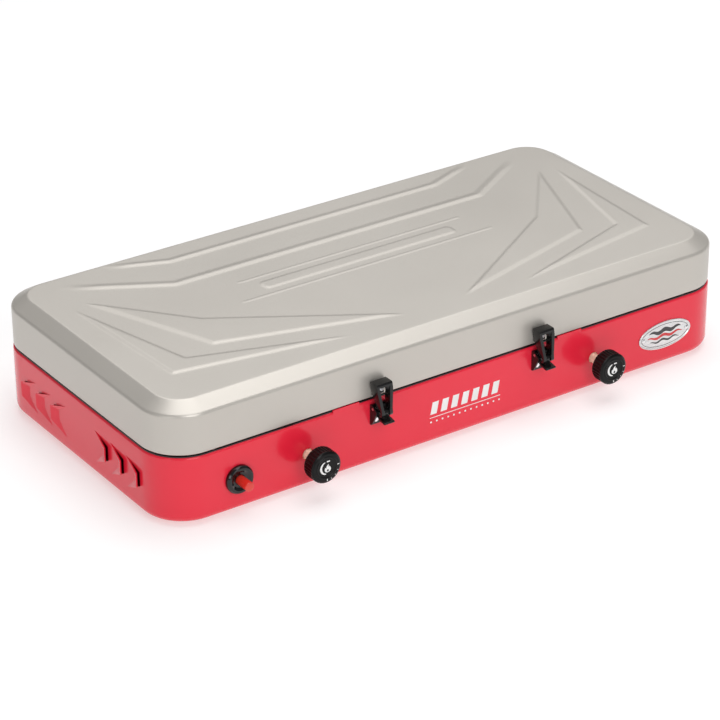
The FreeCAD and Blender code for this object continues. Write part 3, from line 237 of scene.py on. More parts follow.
KNOB_BLACK = surface("moulded_black_knob", (0.0022, 0.0020, 0.0021), (0.0050, 0.0045, 0.0046), (0.26, 0.36),
                     specular=0.16, coat=0.06, coat_rough=0.1, blotch=40.0, grain=1600.0, grain_depth=0.00002)
# Keeper rivet heads: a bright metal rivet with a painted highlight; the near-white base colour and low metallic keep it
# bright from every direction.
KEEPER_RIVET_PAINTED_HIGHLIGHT = surface("bright_rivet_painted_highlight", (0.86, 0.86, 0.87), (0.97, 0.97, 0.98), (0.28, 0.40), metallic=0.35,
                      specular=0.9, blotch=120.0, grain=1500.0, grain_depth=0.00001)
WHITE_INK = surface("white_pad_print", (0.78, 0.78, 0.77), (0.86, 0.86, 0.85), (0.38, 0.5),
                    blotch=80.0, grain=1600.0, grain_depth=0.000008)
BLACK_INK = surface("black_badge_enamel", (0.012, 0.012, 0.013), (0.028, 0.028, 0.03), (0.2, 0.32),
                    specular=0.5, coat=0.3, blotch=80.0, grain=1200.0, grain_depth=0.000008)
RED_INK = surface("red_badge_enamel", (0.55, 0.015, 0.02), (0.66, 0.03, 0.035), (0.2, 0.32),
                  specular=0.5, coat=0.3, blotch=80.0, grain=1200.0, grain_depth=0.000008)
SHADOW = surface("dark_louvre_recess", (0.004, 0.003, 0.003), (0.012, 0.008, 0.008), (0.7, 0.9),
                 specular=0.1, blotch=80.0, grain=900.0, grain_depth=0.00002)


# ------------------------------------------------------------------ mesh tools
def smooth_shade(mesh, angle=35.0):
    mesh.polygons.foreach_set("use_smooth", [True] * len(mesh.polygons))
    bm = bmesh.new()
    bm.from_mesh(mesh)
    lim = math.radians(angle)
    for e in bm.edges:
        if len(e.link_faces) == 2:
            e.smooth = e.calc_face_angle(0.0) < lim
        else:
            e.smooth = False
    bm.to_mesh(mesh)
    bm.free()
    mesh.update()


def place(name, mesh, body, slot, material=None, instead=()):
    ob = bpy.data.objects.new(name, mesh)
    bpy.context.scene.collection.objects.link(ob)
    mesh.materials.clear()
    mesh.materials.append(material or MATS[slot])
    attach(ob, body)
    if instead:
        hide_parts(*instead)
    return ob


def from_pydata(name, verts, faces):
    me = bpy.data.meshes.new(name)
    me.from_pydata([tuple(v) for v in verts], [], faces)
    bm = bmesh.new()
    bm.from_mesh(me)
    bmesh.ops.recalc_face_normals(bm, faces=bm.faces)
    bm.to_mesh(me)
    bm.free()
    me.update()
    return me


def rounded_profile(points, radii, step=12.0):
    """A polyline whose corners are replaced by arcs of the given radii."""
    out = []
    n = len(points)
    for i in range(n):
        p = np.array(points[i], float)
        r = radii[i] if i < len(radii) else 0.0
        if i == 0 or i == n - 1 or r <= 0:
            out.append(tuple(p))
            continue
        a, b = np.array(points[i - 1], float), np.array(points[i + 1], float)
        u, v = (a - p) / np.linalg.norm(a - p), (b - p) / np.linalg.norm(b - p)
        half = math.acos(max(-1.0, min(1.0, float(u @ v)))) / 2
        if half > math.pi / 2 - 0.02:
            out.append(tuple(p))
            continue
        t = min(r / math.tan(half), 0.49 * np.linalg.norm(a - p), 0.49 * np.linalg.norm(b - p))
        rr = t * math.tan(half)
        bis = (u + v) / np.linalg.norm(u + v)
        c = p + bis * (rr / math.sin(half))
        s, e = p + u * t, p + v * t
        a0 = math.atan2(*(s - c)[::-1])
        a1 = math.atan2(*(e - c)[::-1])
        d = (a1 - a0 + math.pi) % (2 * math.pi) - math.pi
        k = max(2, int(abs(math.degrees(d)) / step) + 1)
        for j in range(k + 1):
            q = a0 + d * j / k
            out.append((c[0] + rr * math.cos(q), c[1] + rr * math.sin(q)))
    return out


def lathe(name, profile, x, z, segs=96, y_axis=True, closed=True, wobble=None):
    """Turns (distance along the axis, radius) points about a line through
    (x, z) along Y, or about (x, y) along Z when y_axis is False."""
    verts, faces, rings = [], [], []
    for s, r in profile:
        if r < 1e-6:
            rings.append([len(verts)])
            verts.append((s, 0.0, 0.0))
        else:
            ids = []
            for k in range(segs):
                a = 2 * math.pi * k / segs
                rr = r + (wobble(s, r, a) if wobble else 0.0)
                ids.append(len(verts))
                verts.append((s, rr * math.cos(a), rr * math.sin(a)))
            rings.append(ids)
    pairs = list(zip(rings, rings[1:]))
    if closed and len(rings[0]) > 1 and len(rings[-1]) > 1:
        pairs.append((rings[-1], rings[0]))
    for a, b in pairs:
        for k in range(segs):
            n = (k + 1) % segs
            if len(a) == 1 and len(b) == 1:
                continue
            if len(a) == 1:
                faces.append((a[0], b[k], b[n]))
            elif len(b) == 1:
                faces.append((a[k], b[0], a[n]))
            else:
                faces.append((a[k], b[k], b[n], a[n]))
    if y_axis:
        pts = [row(x + c, s, z + d) for s, c, d in verts]
    else:
        pts = [row(x + c, z + d, s) for s, c, d in verts]
    return from_pydata(name, pts, faces)


def join_meshes(name, meshes):
    bm = bmesh.new()
    for me in meshes:
        bm.from_mesh(me)
    out = bpy.data.meshes.new(name)
    bm.to_mesh(out)
    bm.free()
    return out


def refined(node, width=0.35, segments=2, angle=28.0, merge=0.00002, flat=1.0, shade=40.0):
    """A copy of a CAD node with its flat facets joined up and its sharp edges
    rounded by width (mm)."""
    me = NODES[node].data.copy()
    bm = bmesh.new()
    bm.from_mesh(me)
    bmesh.ops.remove_doubles(bm, verts=bm.verts, dist=merge)
    bmesh.ops.dissolve_degenerate(bm, dist=0.000005, edges=bm.edges)
    bmesh.ops.dissolve_limit(bm, angle_limit=math.radians(flat), verts=bm.verts, edges=bm.edges,
                             use_dissolve_boundaries=False)
    bm.to_mesh(me)
    bm.free()
    ob = bpy.data.objects.new("scratch", me)
    bpy.context.scene.collection.objects.link(ob)
    if width > 0:
        mod = ob.modifiers.new("bevel", "BEVEL")
        mod.width = width / 1000.0
        mod.segments = segments
        mod.limit_method = "ANGLE"
        mod.angle_limit = math.radians(angle)
        mod.use_clamp_overlap = True
        mod.miter_outer = "MITER_SHARP"
    dep = bpy.context.evaluated_depsgraph_get()
    out = bpy.data.meshes.new_from_object(ob.evaluated_get(dep))
    bpy.data.objects.remove(ob)
    bm = bmesh.new()
    bm.from_mesh(out)
    bmesh.ops.remove_doubles(bm, verts=bm.verts, dist=0.000001)
    bmesh.ops.dissolve_degenerate(bm, dist=0.000001, edges=bm.edges)
    bm.to_mesh(out)
    bm.free()
    smooth_shade(out, shade)
    return out


# ------------------------------------------------------------------ the lid
LID_HX, LID_HY, LID_R = HX - 0.6, HY - 0.6, 39.2
LID_BOTTOM, LID_BEND, LID_TOP = 64.8, 100.9, 109.2
EMBOSS = 1.08


def step(t):
    t = np.clip(t, 0.0, 1.0)
    return t * t * (3 - 2 * t)


def ramp_up(t):
    """Nearly straight ramp with soft ends: keeps a clear slope for the light."""
    t = np.clip(t, 0.0, 1.0)
    return np.where(t < 0.15, t * t / 0.30, np.where(t > 0.85, 0.7 + 0.15 - (1 - t) ** 2 / 0.30, t - 0.075)) / 0.85


def line_distance(px, py, pts):
    best = np.full(px.shape, 1e9)
    for (ax, ay), (bx, by) in zip(pts, pts[1:]):
        dx, dy = bx - ax, by - ay
        t = np.clip(((px - ax) * dx + (py - ay) * dy) / (dx * dx + dy * dy), 0, 1)
        best = np.minimum(best, np.hypot(px - ax - t * dx, py - ay - t * dy))
    return best


def inside(px, py, poly):
    res = np.zeros(px.shape, bool)
    n = len(poly)
    for i in range(n):
        x1, y1 = poly[i]
        x2, y2 = poly[(i + 1) % n]
        cross = ((y1 > py) != (y2 > py))
        with np.errstate(divide="ignore", invalid="ignore"):
            xi = (x2 - x1) * (py - y1) / (y2 - y1 if y2 != y1 else 1e-9) + x1
        res ^= cross & (px < xi)
    return res


def dart(px, py, tip, knee, tail, inner, lift, edge=4.2, run=22.0):
    """A raised kite: a clear step along tip-knee-tail, fading to nothing at
    the tip-inner-tail side."""
    ins = inside(px, py, [tip, knee, tail, inner])
    d_out = line_distance(px, py, [tip, knee, tail])
    d_in = line_distance(px, py, [tip, inner, tail])
    return np.where(ins, lift * ramp_up(d_out / edge) * step(d_in / run), 0.0)


def crease(px, py, pts, lift, edge=4.6, run=30.0, taper=40.0):
    """A raised line: steps up on its front side and eases away behind."""
    h = np.zeros(px.shape)
    d = line_distance(px, py, pts)
    back = np.zeros(px.shape, bool)
    first, last = pts[0], pts[-1]
    poly = list(pts) + [(last[0], last[1] + 400), (first[0], first[1] + 400)]
    back = inside(px, py, poly)
    h = np.where(back, ramp_up(d / edge) * (1 - step((d - edge) / run)), 0.0)
    e1 = np.hypot(px - first[0], py - first[1])
    e2 = np.hypot(px - last[0], py - last[1])
    return lift * h * step(e1 / taper) * step(e2 / taper)


def bar(px, py, x0, x1, y0, y1, lift, edge=2.4, r=4.0):
    cx, cy, ax, ay = (x0 + x1) / 2, (y0 + y1) / 2, (x1 - x0) / 2 - r, (y1 - y0) / 2 - r
    qx, qy = np.maximum(np.abs(px - cx) - ax, 0), np.maximum(np.abs(py - cy) - ay, 0)
    d = r - np.hypot(qx, qy)
    return lift * step(d / edge)


def emboss(px, py):
    h = np.zeros(px.shape)
    for s in (-1, 1):
        h = np.maximum(h, dart(px * s, py, (251, 78), (198.3, -58.6), (26, -106.5), (180.0, -10.0), EMBOSS,
                               run=3.4))
        h = np.maximum(h, dart(px * s, py, (264, 75), (254.6, -85), (80, -114.2), (229.0, -65.2), EMBOSS,
                               edge=3.8, run=3.2))
    h = np.maximum(h, crease(px, py, [(-250, 103), (-165, 54.8), (169, 54.8), (247, 102.5)], EMBOSS,
                             run=8.0, taper=34.0))
    h = np.maximum(h, crease(px, py, [(-198, 119), (-144, 98.0), (148, 98.0), (200, 118)], EMBOSS,
                             edge=4.0, run=7.0, taper=24.0))
    h = np.maximum(h, bar(px, py, -118, 123, 28.4, 31.6, 0.45, 1.5, 1.5))
    h = np.maximum(h, bar(px, py, -135, 135, -6.6, -3.4, 0.45, 1.5, 1.5))
    h = np.maximum(h, bar(px, py, -104, 104, 4.5, 20.5, 0.7, 2.6, 6.0))
    return h


def lid_mesh():
    start = -17.2
    hx, hy, r = LID_HX + start, LID_HY + start, LID_R + start
    rows = []
    arc = 26
    for k in range(arc + 1):
        t = math.pi / 2 * (1 - k / arc)
        rows.append((-(hy - r) - r * math.sin(t), (hx - r) + r * math.cos(t), t))
    count = int(2 * (hy - r) / 1.35)
    for k in range(1, count):
        rows.append((-(hy - r) + 2 * (hy - r) * k / count, hx, 0.0))
    for k in range(arc + 1):
        t = math.pi / 2 * (k / arc)
        rows.append(((hy - r) + r * math.sin(t), (hx - r) + r * math.cos(t), t))
    cols = 416
    nr = len(rows)
    gx = np.zeros((nr, cols + 1))
    gy = np.zeros((nr, cols + 1))
    for i, (y, half, _) in enumerate(rows):
        gx[i] = np.linspace(-half, half, cols + 1)
        gy[i] = y
    gz = LID_TOP + emboss(gx, gy)
    verts, faces = [], []
    index = {}

    def add(x, y, z):
        verts.append(row(x, y, z))
        return len(verts) - 1

    # loop of border vertices with their outward directions
    border = []
    for j in range(cols + 1):
        border.append((0, j, (0.0, -1.0)))
    for i in range(1, nr):
        y, half, t = rows[i]
        if i < nr - 1:
            sy = -1.0 if y < 0 else 1.0
            border.append((i, cols, (math.cos(t), sy * math.sin(t))))
    for j in range(cols, -1, -1):
        border.append((nr - 1, j, (0.0, 1.0)))
    for i in range(nr - 2, 0, -1):
        y, half, t = rows[i]
        sy = -1.0 if y < 0 else 1.0
        border.append((i, 0, (-math.cos(t), sy * math.sin(t))))

    outer = rounded_profile([(start, LID_TOP), (-14.6, LID_TOP), (0.0, LID_BEND), (0.0, LID_BOTTOM)],
                            [0, 7.5, 4.2, 0], 4.0)
    drop = outer[-1]
    outer = outer[1:-1]
    wall = [(0.0, z) for z in np.linspace(outer[-1][1] - 4.0, LID_BOTTOM + 0.7, 6)]
    hem = [(-0.12, LID_BOTTOM + 0.25), (-0.42, LID_BOTTOM), (-0.78, LID_BOTTOM), (-1.08, LID_BOTTOM + 0.25),
           (-1.2, LID_BOTTOM + 0.7)]
    inner = rounded_profile([(-1.2, LID_BOTTOM + 0.7), (-1.2, LID_BEND - 0.65), (-15.0, LID_TOP - 1.2),
                             (start, LID_TOP - 1.2)], [0, 3.0, 8.7, 0], 8.0)
    inner = inner[1:-1]
    chain = outer + wall + hem + inner

    top = np.zeros((nr, cols + 1), int)
    low = np.zeros((nr, cols + 1), int)
    for i in range(nr):
        for j in range(cols + 1):
            top[i, j] = add(gx[i, j], gy[i, j], gz[i, j])
    for i in range(nr):
        for j in range(cols + 1):
            low[i, j] = add(gx[i, j], gy[i, j], gz[i, j] - 1.2)
    for i in range(nr - 1):
        for j in range(cols):
            faces.append((top[i, j], top[i, j + 1], top[i + 1, j + 1], top[i + 1, j]))
            faces.append((low[i, j], low[i + 1, j], low[i + 1, j + 1], low[i, j + 1]))
    previous = [int(top[i, j]) for i, j, _ in border]
    n = len(border)
    for off, z in chain:
        ring = []
        for i, j, (nx, ny) in border:
            d = off - start
            ring.append(add(gx[i, j] + nx * d, gy[i, j] + ny * d, z))
        for k in range(n):
            q = (k + 1) % n
            faces.append((previous[k], ring[k], ring[q], previous[q]))
        previous = ring
    last = [int(low[i, j]) for i, j, _ in border]
    for k in range(n):
        q = (k + 1) % n
        faces.append((previous[k], last[k], last[q], previous[q]))
    me = from_pydata("lid_pressing", verts, faces)
    smooth_shade(me, 60.0)
    return me


place("lid_pressing", lid_mesh(), "lid", "lid_paint", instead=["lid_shell"])


# ------------------------------------------------------------------ the tub
def tub_mesh():
    """The pressed tub with its flat facets joined and its rolled corners smooth."""
    me = NODES["base_shell"].data.copy()
    bm = bmesh.new()
    bm.from_mesh(me)
    bmesh.ops.remove_doubles(bm, verts=bm.verts, dist=0.00002)
    bmesh.ops.dissolve_limit(bm, angle_limit=math.radians(0.6), verts=bm.verts, edges=bm.edges,
                             use_dissolve_boundaries=False)
    bm.to_mesh(me)
    bm.free()
    smooth_shade(me, 22.0)
    return me


# ------------------------------------------------------------------ knobs
def knob_meshes(x, z):
    """Fluted push-fit knob: the skirt, its rounded crown and its face ring in one lathe pass with 32 ribs; the printed
    marks are added after it."""
    back = -HY - 15.6
    front = back - 13.4

    def ribs(s, r, a):
        t = (s - front) / 13.4
        if r < 12.6 or t < 0.10 or t > 0.96:
            return 0.0
        depth = 0.62 * min(1.0, (t - 0.10) / 0.16) * min(1.0, (0.96 - t) / 0.05)
        c = math.cos(32 * a)
        return -1.25 * depth * (0.5 - 0.5 * c) ** 0.7

    profile = rounded_profile(
        [(back, 4.7), (back, 13.9), (back - 0.9, 14.85), (front + 1.5, 14.85), (front + 0.35, 12.7),
         (front + 0.35, 10.7), (front, 10.3), (front, 9.2), (front + 0.45, 8.7), (front + 0.45, 0.0)],
        [0, 0.4, 0.6, 1.3, 0.35, 0.15, 0.2, 0.2, 0.15, 0], 14.0)
    dense = []
    for (s0, r0), (s1, r1) in zip(profile, profile[1:]):
        n = max(1, int(math.hypot(s1 - s0, r1 - r0) / 0.9)) if min(r0, r1) > 12.5 else 1
        for k in range(n):
            dense.append((s0 + (s1 - s0) * k / n, r0 + (r1 - r0) * k / n))
    dense.append(profile[-1])
    bore = [(front + 2.9, 0.0), (front + 2.9, 4.7)]
    body = lathe("knob_skirt", bore[::-1][::-1] + dense, x, z, segs=288, closed=False, wobble=ribs)
    smooth_shade(body, 50.0)
    return body, front


def slab_from_outline(outline, y_front, thick, x, z, flip=1.0):
    """A thin printed mark: a 2-D outline (right, up) standing thick proud of
    the plane at y_front + thick."""
    n = len(outline)
    verts = [row(x + u, y_front, z + v) for u, v in outline] + \
            [row(x + u, y_front + thick, z + v) for u, v in outline]
    faces = [tuple(range(n)), tuple(range(2 * n - 1, n - 1, -1))]
    for k in range(n):
        q = (k + 1) % n
        faces.append((k, n + k, n + q, q))
    return from_pydata("mark", verts, faces)


def arc_band(r, w, a0, a1, steps=24, taper=False):
    out = []
    for k in range(steps + 1):
        a = math.radians(a0 + (a1 - a0) * k / steps)
        ww = w * (math.sin(math.pi * (0.12 + 0.76 * k / steps)) if taper else 1.0)
        out.append(((r + ww / 2) * math.cos(a), (r + ww / 2) * math.sin(a)))
    for k in range(steps, -1, -1):
        a = math.radians(a0 + (a1 - a0) * k / steps)
        ww = w * (math.sin(math.pi * (0.12 + 0.76 * k / steps)) if taper else 1.0)
        out.append(((r - ww / 2) * math.cos(a), (r - ww / 2) * math.sin(a)))
    return out


def flame_outline(scale, du=0.0, dv=0.0):
    """A plain two-tongued flame."""
    pts = [(0.0, -3.0), (0.9, -2.92), (1.8, -2.55), (2.5, -1.8), (2.8, -0.7), (2.65, 0.4), (2.15, 1.4), (1.5, 2.2),
           (1.42, 1.5), (1.15, 0.95), (0.85, 1.9), (0.75, 2.8), (1.0, 3.7), (0.1, 3.2), (-0.7, 2.4), (-1.2, 1.4),
           (-1.35, 0.4), (-1.75, 0.75), (-1.95, 1.25), (-2.45, 0.5), (-2.75, -0.5), (-2.55, -1.6), (-1.85, -2.5),
           (-0.9, -2.92)]
    return [(du + scale * u, dv + scale * v) for u, v in pts]


STEM_R = 4.5
for side, kx in (("left", -160.5), ("right", 145.0)):
    body_name = side + "_control"
    skirt, front = knob_meshes(kx, 31.0)
    place(side + "_knob_fluted", skirt, body_name, "black_plastic", KNOB_BLACK, instead=[side + "_knob"])
    stem = [(-120.0, 0.0), (-120.0, STEM_R), (-145.6, STEM_R)]
    for k in range(11):
        stem += [(-146.0 - k, STEM_R - 0.38), (-146.5 - k, STEM_R)]
    stem += [(-HY - 15.6 - 9.6, STEM_R), (-HY - 15.6 - 10.2, STEM_R - 0.6), (-HY - 15.6 - 10.2, 0.0)]
    me = lathe(side + "_stem_threaded", stem, kx, 31.0, segs=72, closed=False)
    smooth_shade(me, 50.0)
    # brass stem; its pink tint is partly a painted reflection of the red panel
    place(side + "_stem_threaded", me, body_name, "brass", STEM_BRASS_PAINTED_REFLECTION, instead=[side + "_valve_spindle"])
    marks = []
    face = front + 0.45 - 0.14
    marks.append(slab_from_outline(arc_band(5.7, 1.9, 106, 262, 28, True), face, 0.2, kx, 31.0))
    marks.append(slab_from_outline(flame_outline(1.12, 0.9, -0.9), face, 0.2, kx, 31.0))
    marks.append(slab_from_outline([(0.2, 5.2), (3.2, 5.2), (3.2, 6.3), (0.2, 6.3)], face, 0.2, kx, 31.0))
    rim = front + 0.35 - 0.12
    for ang, length, wide in ((2, 2.1, 0.7), (-24, 0.9, 0.5), (-46, 0.9, 0.5), (-68, 0.9, 0.5), (-88, 2.3, 0.8)):
        a = math.radians(ang)
        c, s_ = math.cos(a), math.sin(a)
        r0, r1 = 12.45 - length, 12.45
        quad = [(r0 * c - wide / 2 * -s_, r0 * s_ - wide / 2 * c), (r1 * c - wide / 2 * -s_, r1 * s_ - wide / 2 * c),
                (r1 * c + wide / 2 * -s_, r1 * s_ + wide / 2 * c), (r0 * c + wide / 2 * -s_, r0 * s_ + wide / 2 * c)]
        marks.append(slab_from_outline(quad, rim, 0.16, kx, 31.0))
    inner = flame_outline(0.36, 0.9, -2.4)
    place(side + "_knob_marks", join_meshes(side + "_knob_marks", marks), body_name, "black_plastic", WHITE_INK)
    place(side + "_knob_flame_eye", slab_from_outline(inner, face - 0.06, 0.2, kx, 31.0), body_name,
          "black_plastic", KNOB_BLACK)

# ------------------------------------------------------------------ igniter
ix, iz = -229.0, 30.0
bez = rounded_profile([(-HY, 7.5), (-HY, 13.0), (-HY - 2.7, 13.0), (-HY - 4.5, 11.5), (-HY - 4.5, 9.4),
                       (-HY - 2.7, 6.9), (-HY - 2.7, 4.62), (-HY + 8.0, 4.62), (-HY + 8.0, 7.5)],
                      [0, 0.2, 1.3, 0.8, 0.8, 0.5, 0.3, 0, 0], 10.0)
me = lathe("igniter_bezel_turned", bez, ix, iz, segs=128)
smooth_shade(me, 40.0)
place("igniter_bezel_turned", me, "base", "gloss_black", instead=["igniter_bezel"])
tip = -HY - 17.5
pin = rounded_profile([(tip, 0.0), (tip, 4.3), (-135.7, 4.3), (-135.7, 6.8), (-132.4, 6.8), (-132.4, 3.4),
                       (-122.0, 3.4), (-122.0, 0.0)],
                      [0, 1.0, 0.2, 0.2, 0.2, 0.2, 0.3, 0], 12.0)
me = lathe("igniter_pin", pin, ix, iz, segs=72, closed=False)
smooth_shade(me, 40.0)
place("igniter_pin", me, "spark_button", "red_plastic", instead=["igniter_button"])
# return spring: it shortens as the pin goes in
turns, per_turn, ring = 5.75, 32, 12
steps = int(turns * per_turn)
verts, faces = [], []
for k in range(steps + 1):
    a = 2 * math.pi * k / per_turn
    c, s_ = math.cos(a), math.sin(a)
    cy = -131.6 + 3.55 * k / per_turn
    for j in range(ring):
        b = 2 * math.pi * j / ring
        r_ = 5.15 + 0.45 * math.cos(b)
        verts.append(row(ix + r_ * c, cy + 0.45 * math.sin(b), iz + r_ * s_))
for k in range(steps):
    for j in range(ring):
        q = (j + 1) % ring
        faces.append((k * ring + j, (k + 1) * ring + j, (k + 1) * ring + q, k * ring + q))
faces.append(tuple(range(ring)))
faces.append(tuple(reversed(range(steps * ring, (steps + 1) * ring))))
me = from_pydata("igniter_return_spring", verts, faces)
smooth_shade(me, 50.0)
spring = place("igniter_return_spring", me, "base", SLOT_OF["igniter_spring"], instead=["igniter_spring"])
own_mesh(spring)

# ------------------------------------------------------------------ latches
for side in ("left", "right"):
    for node, new, body in ((side + "_draw_arm", side + "_draw_arm_moulding", side + "_arm"),
                            (side + "_latch_lever", side + "_lever_moulding", side + "_lever"),
                            (side + "_latch_bracket", side + "_bracket_moulding", "base"),
                            (side + "_keeper", side + "_keeper_moulding", "lid")):
        w = 0.8 if "arm" in node else 0.35
        place(new, refined(node, w, 3, 24.0), body, "black_plastic", instead=[node])


def dome(name, x, y_face, z, head, height, segs=40):
    prof = [(y_face, head), (y_face - 0.22 * height, head * 0.99)]
    for k in range(1, 9):
        a = math.pi / 2 * k / 8
        prof.append((y_face - height * (0.22 + 0.78 * math.sin(a)), head * math.cos(a) * 0.99 if k < 8 else 0.0))
    prof = [(y_face + 0.5, 0.0), (y_face + 0.5, head * 0.9)] + prof
    return lathe(name, prof, x, z, segs=segs, closed=False)


# set rivet heads, turned finer than the collision model's
for mid, side in ((-89.4, "left"), (82.6, "right")):
    heads = [dome("head", mid + d, -HY - 1.8, 71.8, 2.6, 1.2) for d in (-2.9, 2.9)]
    me = join_meshes(side + "_keeper_rivet_head", heads)
    smooth_shade(me, 50.0)
    # the keeper heads take the near-white painted-highlight material
    place(side + "_keeper_rivet_head", me, "lid", "bright_rivet", KEEPER_RIVET_PAINTED_HIGHLIGHT)
    heads = [dome("head", mid + d, -HY - 2.0, 44.0, 2.45, 1.1) for d in (-2.7, 2.7)]
    me = join_meshes(side + "_bracket_rivet_heads", heads)
    smooth_shade(me, 50.0)
    place(side + "_bracket_rivet_heads", me, "base", "bright_rivet")

# ------------------------------------------------------------------ badge
BX, BZ = 227.0, 30.5


def oval(a, b, n=160):
    return [(a * math.cos(2 * math.pi * k / n), b * math.sin(2 * math.pi * k / n)) for k in range(n)]


def oval_plate(name, rings, x, z):
    """Nested ovals given as (half width, half height, y): a dished plate."""
    n = 160
    verts, faces = [], []
    for a, b, y in rings:
        for u, v in oval(a, b, n):
            verts.append(row(x + u, y, z + v))
    for r in range(len(rings) - 1):
        for k in range(n):
            q = (k + 1) % n
            faces.append((r * n + k, r * n + q, (r + 1) * n + q, (r + 1) * n + k))
    faces.append(tuple(range((len(rings) - 1) * n, len(rings) * n)))
    faces.append(tuple(range(n - 1, -1, -1)))
    me = from_pydata(name, verts, faces)
    smooth_shade(me, 30.0)
    return me


place("badge_oval", oval_plate("badge_oval", [
    (29.8, 13.3, -HY), (30.0, 13.5, -HY - 0.2), (30.0, 13.5, -HY - 0.75), (29.75, 13.25, -HY - 1.0),
    (28.9, 12.4, -HY - 1.0), (28.6, 12.1, -HY - 0.78)], BX, BZ), "base", "badge_metal", instead=["badge_plate"])
y_art = -HY - 0.78
art_black, art_red = [], []
# border line of the oval field
n = 160
band = oval(27.4, 10.9, n) + [(27.4, 0.0)]
o1, o2 = oval(27.3, 10.8, n), oval(26.8, 10.3, n)


def band_mesh(o1, o2, y0, y1, x, z):
    n = len(o1)
    verts = [row(x + u, y0, z + v) for u, v in o1] + [row(x + u, y0, z + v) for u, v in o2] + \
            [row(x + u, y1, z + v) for u, v in o1] + [row(x + u, y1, z + v) for u, v in o2]
    faces = []
    for k in range(n):
        q = (k + 1) % n
        faces += [(k, q, n + q, n + k), (2 * n + k, 3 * n + k, 3 * n + q, 2 * n + q),
                  (k, 2 * n + k, 2 * n + q, q), (n + k, n + q, 3 * n + q, 3 * n + k)]
    return from_pydata("band", verts, faces)


art_black.append(band_mesh(o1, o2, y_art - 0.10, y_art + 0.06, BX, BZ))


def wave_band(x0, x1, base, amp, waves, w, phase=0.0, n=64):
    up, low = [], []
    for k in range(n + 1):
        t = k / n
        u = x0 + (x1 - x0) * t
        fade = math.sin(math.pi * t) ** 0.6
        v = base + amp * math.sin(2 * math.pi * waves * t + phase)
        up.append((u, v + w * fade / 2 + 0.02))
        low.append((u, v - w * fade / 2 - 0.02))
    return up + low[::-1]


art_black.append(slab_from_outline(wave_band(-18.5, 18.5, 4.3, 1.1, 2.5, 4.3), y_art - 0.10, 0.16, BX, BZ))
art_red.append(slab_from_outline(wave_band(-20.5, 20.5, -0.7, 1.1, 2.5, 2.9, 0.6), y_art - 0.10, 0.16, BX, BZ))
art_black.append(slab_from_outline(wave_band(-17.0, 17.0, -5.0, 1.0, 2.5, 2.0, 1.2), y_art - 0.10, 0.16, BX, BZ))
place("badge_waves_black", join_meshes("badge_waves_black", art_black), "base", "badge_metal", BLACK_INK)
place("badge_waves_red", join_meshes("badge_waves_red", art_red), "base", "badge_metal", RED_INK)
for s_, tag in ((-1, "a"), (1, "b")):
    me = dome("head", BX + s_ * 25.0, -HY - 0.76, BZ, 2.1, 0.95)
    smooth_shade(me, 50.0)
    place("badge_rivet_head_" + tag, me, "base", "bright_rivet")

# ------------------------------------------------------------------ printed front graphic
# A generic panel of slanted bars over a rule and a row of dots, in white ink.
prints = []
yp = -HY - 0.06
for k in range(7):
    u0 = -34.0 + k * 10.9
    prints.append(slab_from_outline([(u0, 28.6), (u0 + 6.6, 28.6), (u0 + 9.0, 40.2), (u0 + 2.4, 40.2)],
                                    yp, 0.10, 0, 0))
prints.append(slab_from_outline([(-34.5, 25.1), (41.0, 25.1), (41.0, 25.7), (-34.5, 25.7)], yp, 0.10, 0, 0))
for k in range(13):
    c = -33.2 + k * 6.1
    prints.append(slab_from_outline([(c + 0.9 * math.cos(math.pi * j / 8), 21.2 + 0.9 * math.sin(math.pi * j / 8))
                                     for j in range(16)], yp, 0.10, 0, 0))
place("front_print_bars", join_meshes("front_print_bars", prints), "base", "red_paint", WHITE_INK)

# ------------------------------------------------------------------ carried-over CAD pieces, edges broken
FINE = {
    "left_hinge_base_leaf": 0.25, "right_hinge_base_leaf": 0.25, "left_hinge_lid_leaf": 0.25,
    "right_hinge_lid_leaf": 0.25, "left_burner_bracket": 0.25, "right_burner_bracket": 0.25,
    "inlet_lock_nut": 0.35, "inlet_fitting": 0.3, "left_windscreen_mount": 0.2,
    "right_windscreen_mount": 0.2, "rubber_feet": 0.4, "left_burner_cap": 0.3, "right_burner_cap": 0.3,
    "left_burner_body": 0.3, "right_burner_body": 0.3, "left_valve_body": 0.3, "right_valve_body": 0.3,
    "manifold_clips": 0.2, "burner_screws": 0.15, "tray_screws": 0.15, "igniter_housing": 0.3,
}
for node, w in FINE.items():
    place(node + "_finished", refined(node, w, 2, 30.0), BODY_OF[node], SLOT_OF[node], instead=[node])
place("tub_pressing", tub_mesh(), "base", "red_paint", instead=["base_shell"])


# ------------------------------------------------------------------ finish and lights
for name, node in NODES.items():
    if node.hide_render:
        continue
    node.data.materials.clear()
    node.data.materials.append(MATS[SLOT_OF[name]])

floor_mesh = bpy.data.meshes.new("floor")
S = 14.0
floor_mesh.from_pydata([(-S, -S, 0), (S, -S, 0), (S, S, 0), (-S, S, 0)], [], [(0, 1, 2, 3)])
floor_ob = bpy.data.objects.new("floor", floor_mesh)
bpy.context.scene.collection.objects.link(floor_ob)
floor_mat, fnt, fb = new_material("studio_floor")
fvec = object_coords(fnt)
fcol = mix_rgb(fnt, ramp(fnt, noise(fnt, fvec, 1.2), [(0.3, 0.0), (0.7, 1.0)]), (0.52, 0.52, 0.52), (0.55, 0.55, 0.55))
fnt.links.new(fcol, fb.inputs["Base Color"])
fb.inputs["Roughness"].default_value = 0.9
fb.inputs["Specular IOR Level"].default_value = 0.1
fb.inputs["Emission Color"].default_value = (1.0, 1.0, 1.0, 1)
fb.inputs["Emission Strength"].default_value = 0.50
floor_mesh.materials.append(floor_mat)

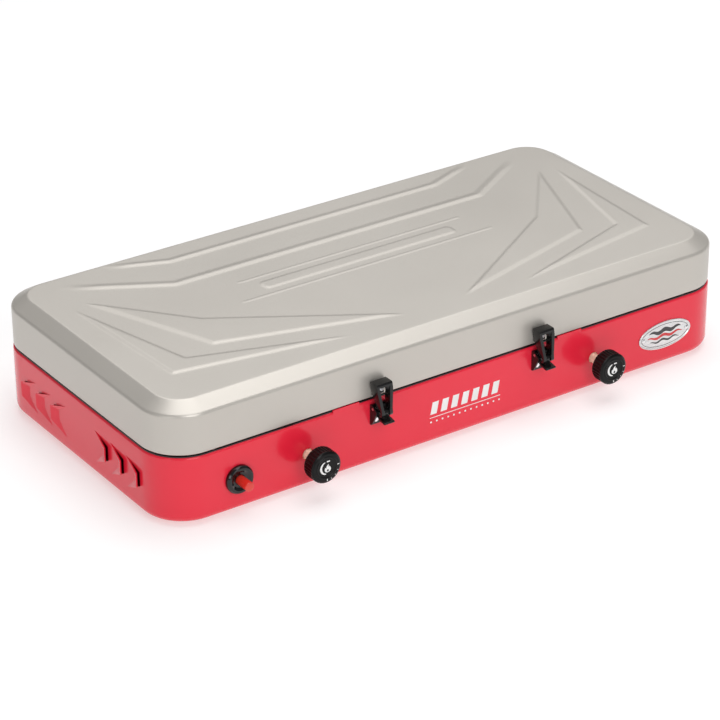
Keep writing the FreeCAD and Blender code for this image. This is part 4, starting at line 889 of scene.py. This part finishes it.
world = bpy.data.worlds.new("studio") if bpy.context.scene.world is None else bpy.context.scene.world
bpy.context.scene.world = world
world.use_nodes = True
wnt = world.node_tree
bg = next(n for n in wnt.nodes if n.type == "BACKGROUND")
wtc = wnt.nodes.new("ShaderNodeTexCoord")
wsep = wnt.nodes.new("ShaderNodeSeparateXYZ")
wnt.links.new(wtc.outputs["Generated"], wsep.inputs["Vector"])
wramp = wnt.nodes.new("ShaderNodeValToRGB")
for e, (pos, c) in zip([wramp.color_ramp.elements[0], wramp.color_ramp.elements[1], wramp.color_ramp.elements.new(0.35),
                        wramp.color_ramp.elements.new(0.62)], [(0.0, 0.55), (1.0, 1.3), (0.5, 0.55), (0.75, 1.0)]):
    e.position = pos
    e.color = (c, c, c, 1)
wmap = wnt.nodes.new("ShaderNodeMath")
wmap.operation = "MULTIPLY_ADD"
wmap.inputs[1].default_value = 0.5
wmap.inputs[2].default_value = 0.5
wnt.links.new(wsep.outputs["Z"], wmap.inputs[0])
wnt.links.new(wmap.outputs[0], wramp.inputs["Fac"])
wnt.links.new(wramp.outputs["Color"], bg.inputs["Color"])
bg.inputs["Strength"].default_value = 0.30


def area(name, where, to, size, power, size_y=None, colour=(1, 1, 1)):
    data = bpy.data.lights.new(name, "AREA")
    data.shape = "RECTANGLE"
    data.size = size
    data.size_y = size_y or size
    data.energy = power
    data.color = colour
    ob = bpy.data.objects.new(name, data)
    bpy.context.scene.collection.objects.link(ob)
    ob.location = where
    ob.rotation_mode = "QUATERNION"
    ob.rotation_quaternion = (Vector(to) - Vector(where)).to_track_quat("-Z", "Y")
    return ob


area("over", (0.15, -0.2, 2.5), (0, 0, 0.05), 2.2, 33.0)
area("behind", (1.1, 1.6, 2.8), (0, 0, 0.05), 3.3, 37.0)
area("key", (-0.4, -2.1, 1.2), (0, 0, 0.05), 1.1, 18.5)
area("side", (-2.3, -1.2, 0.75), (-0.2, 0, 0.05), 0.8, 5.5)
bpy.context.scene.view_settings.view_transform = "Standard"
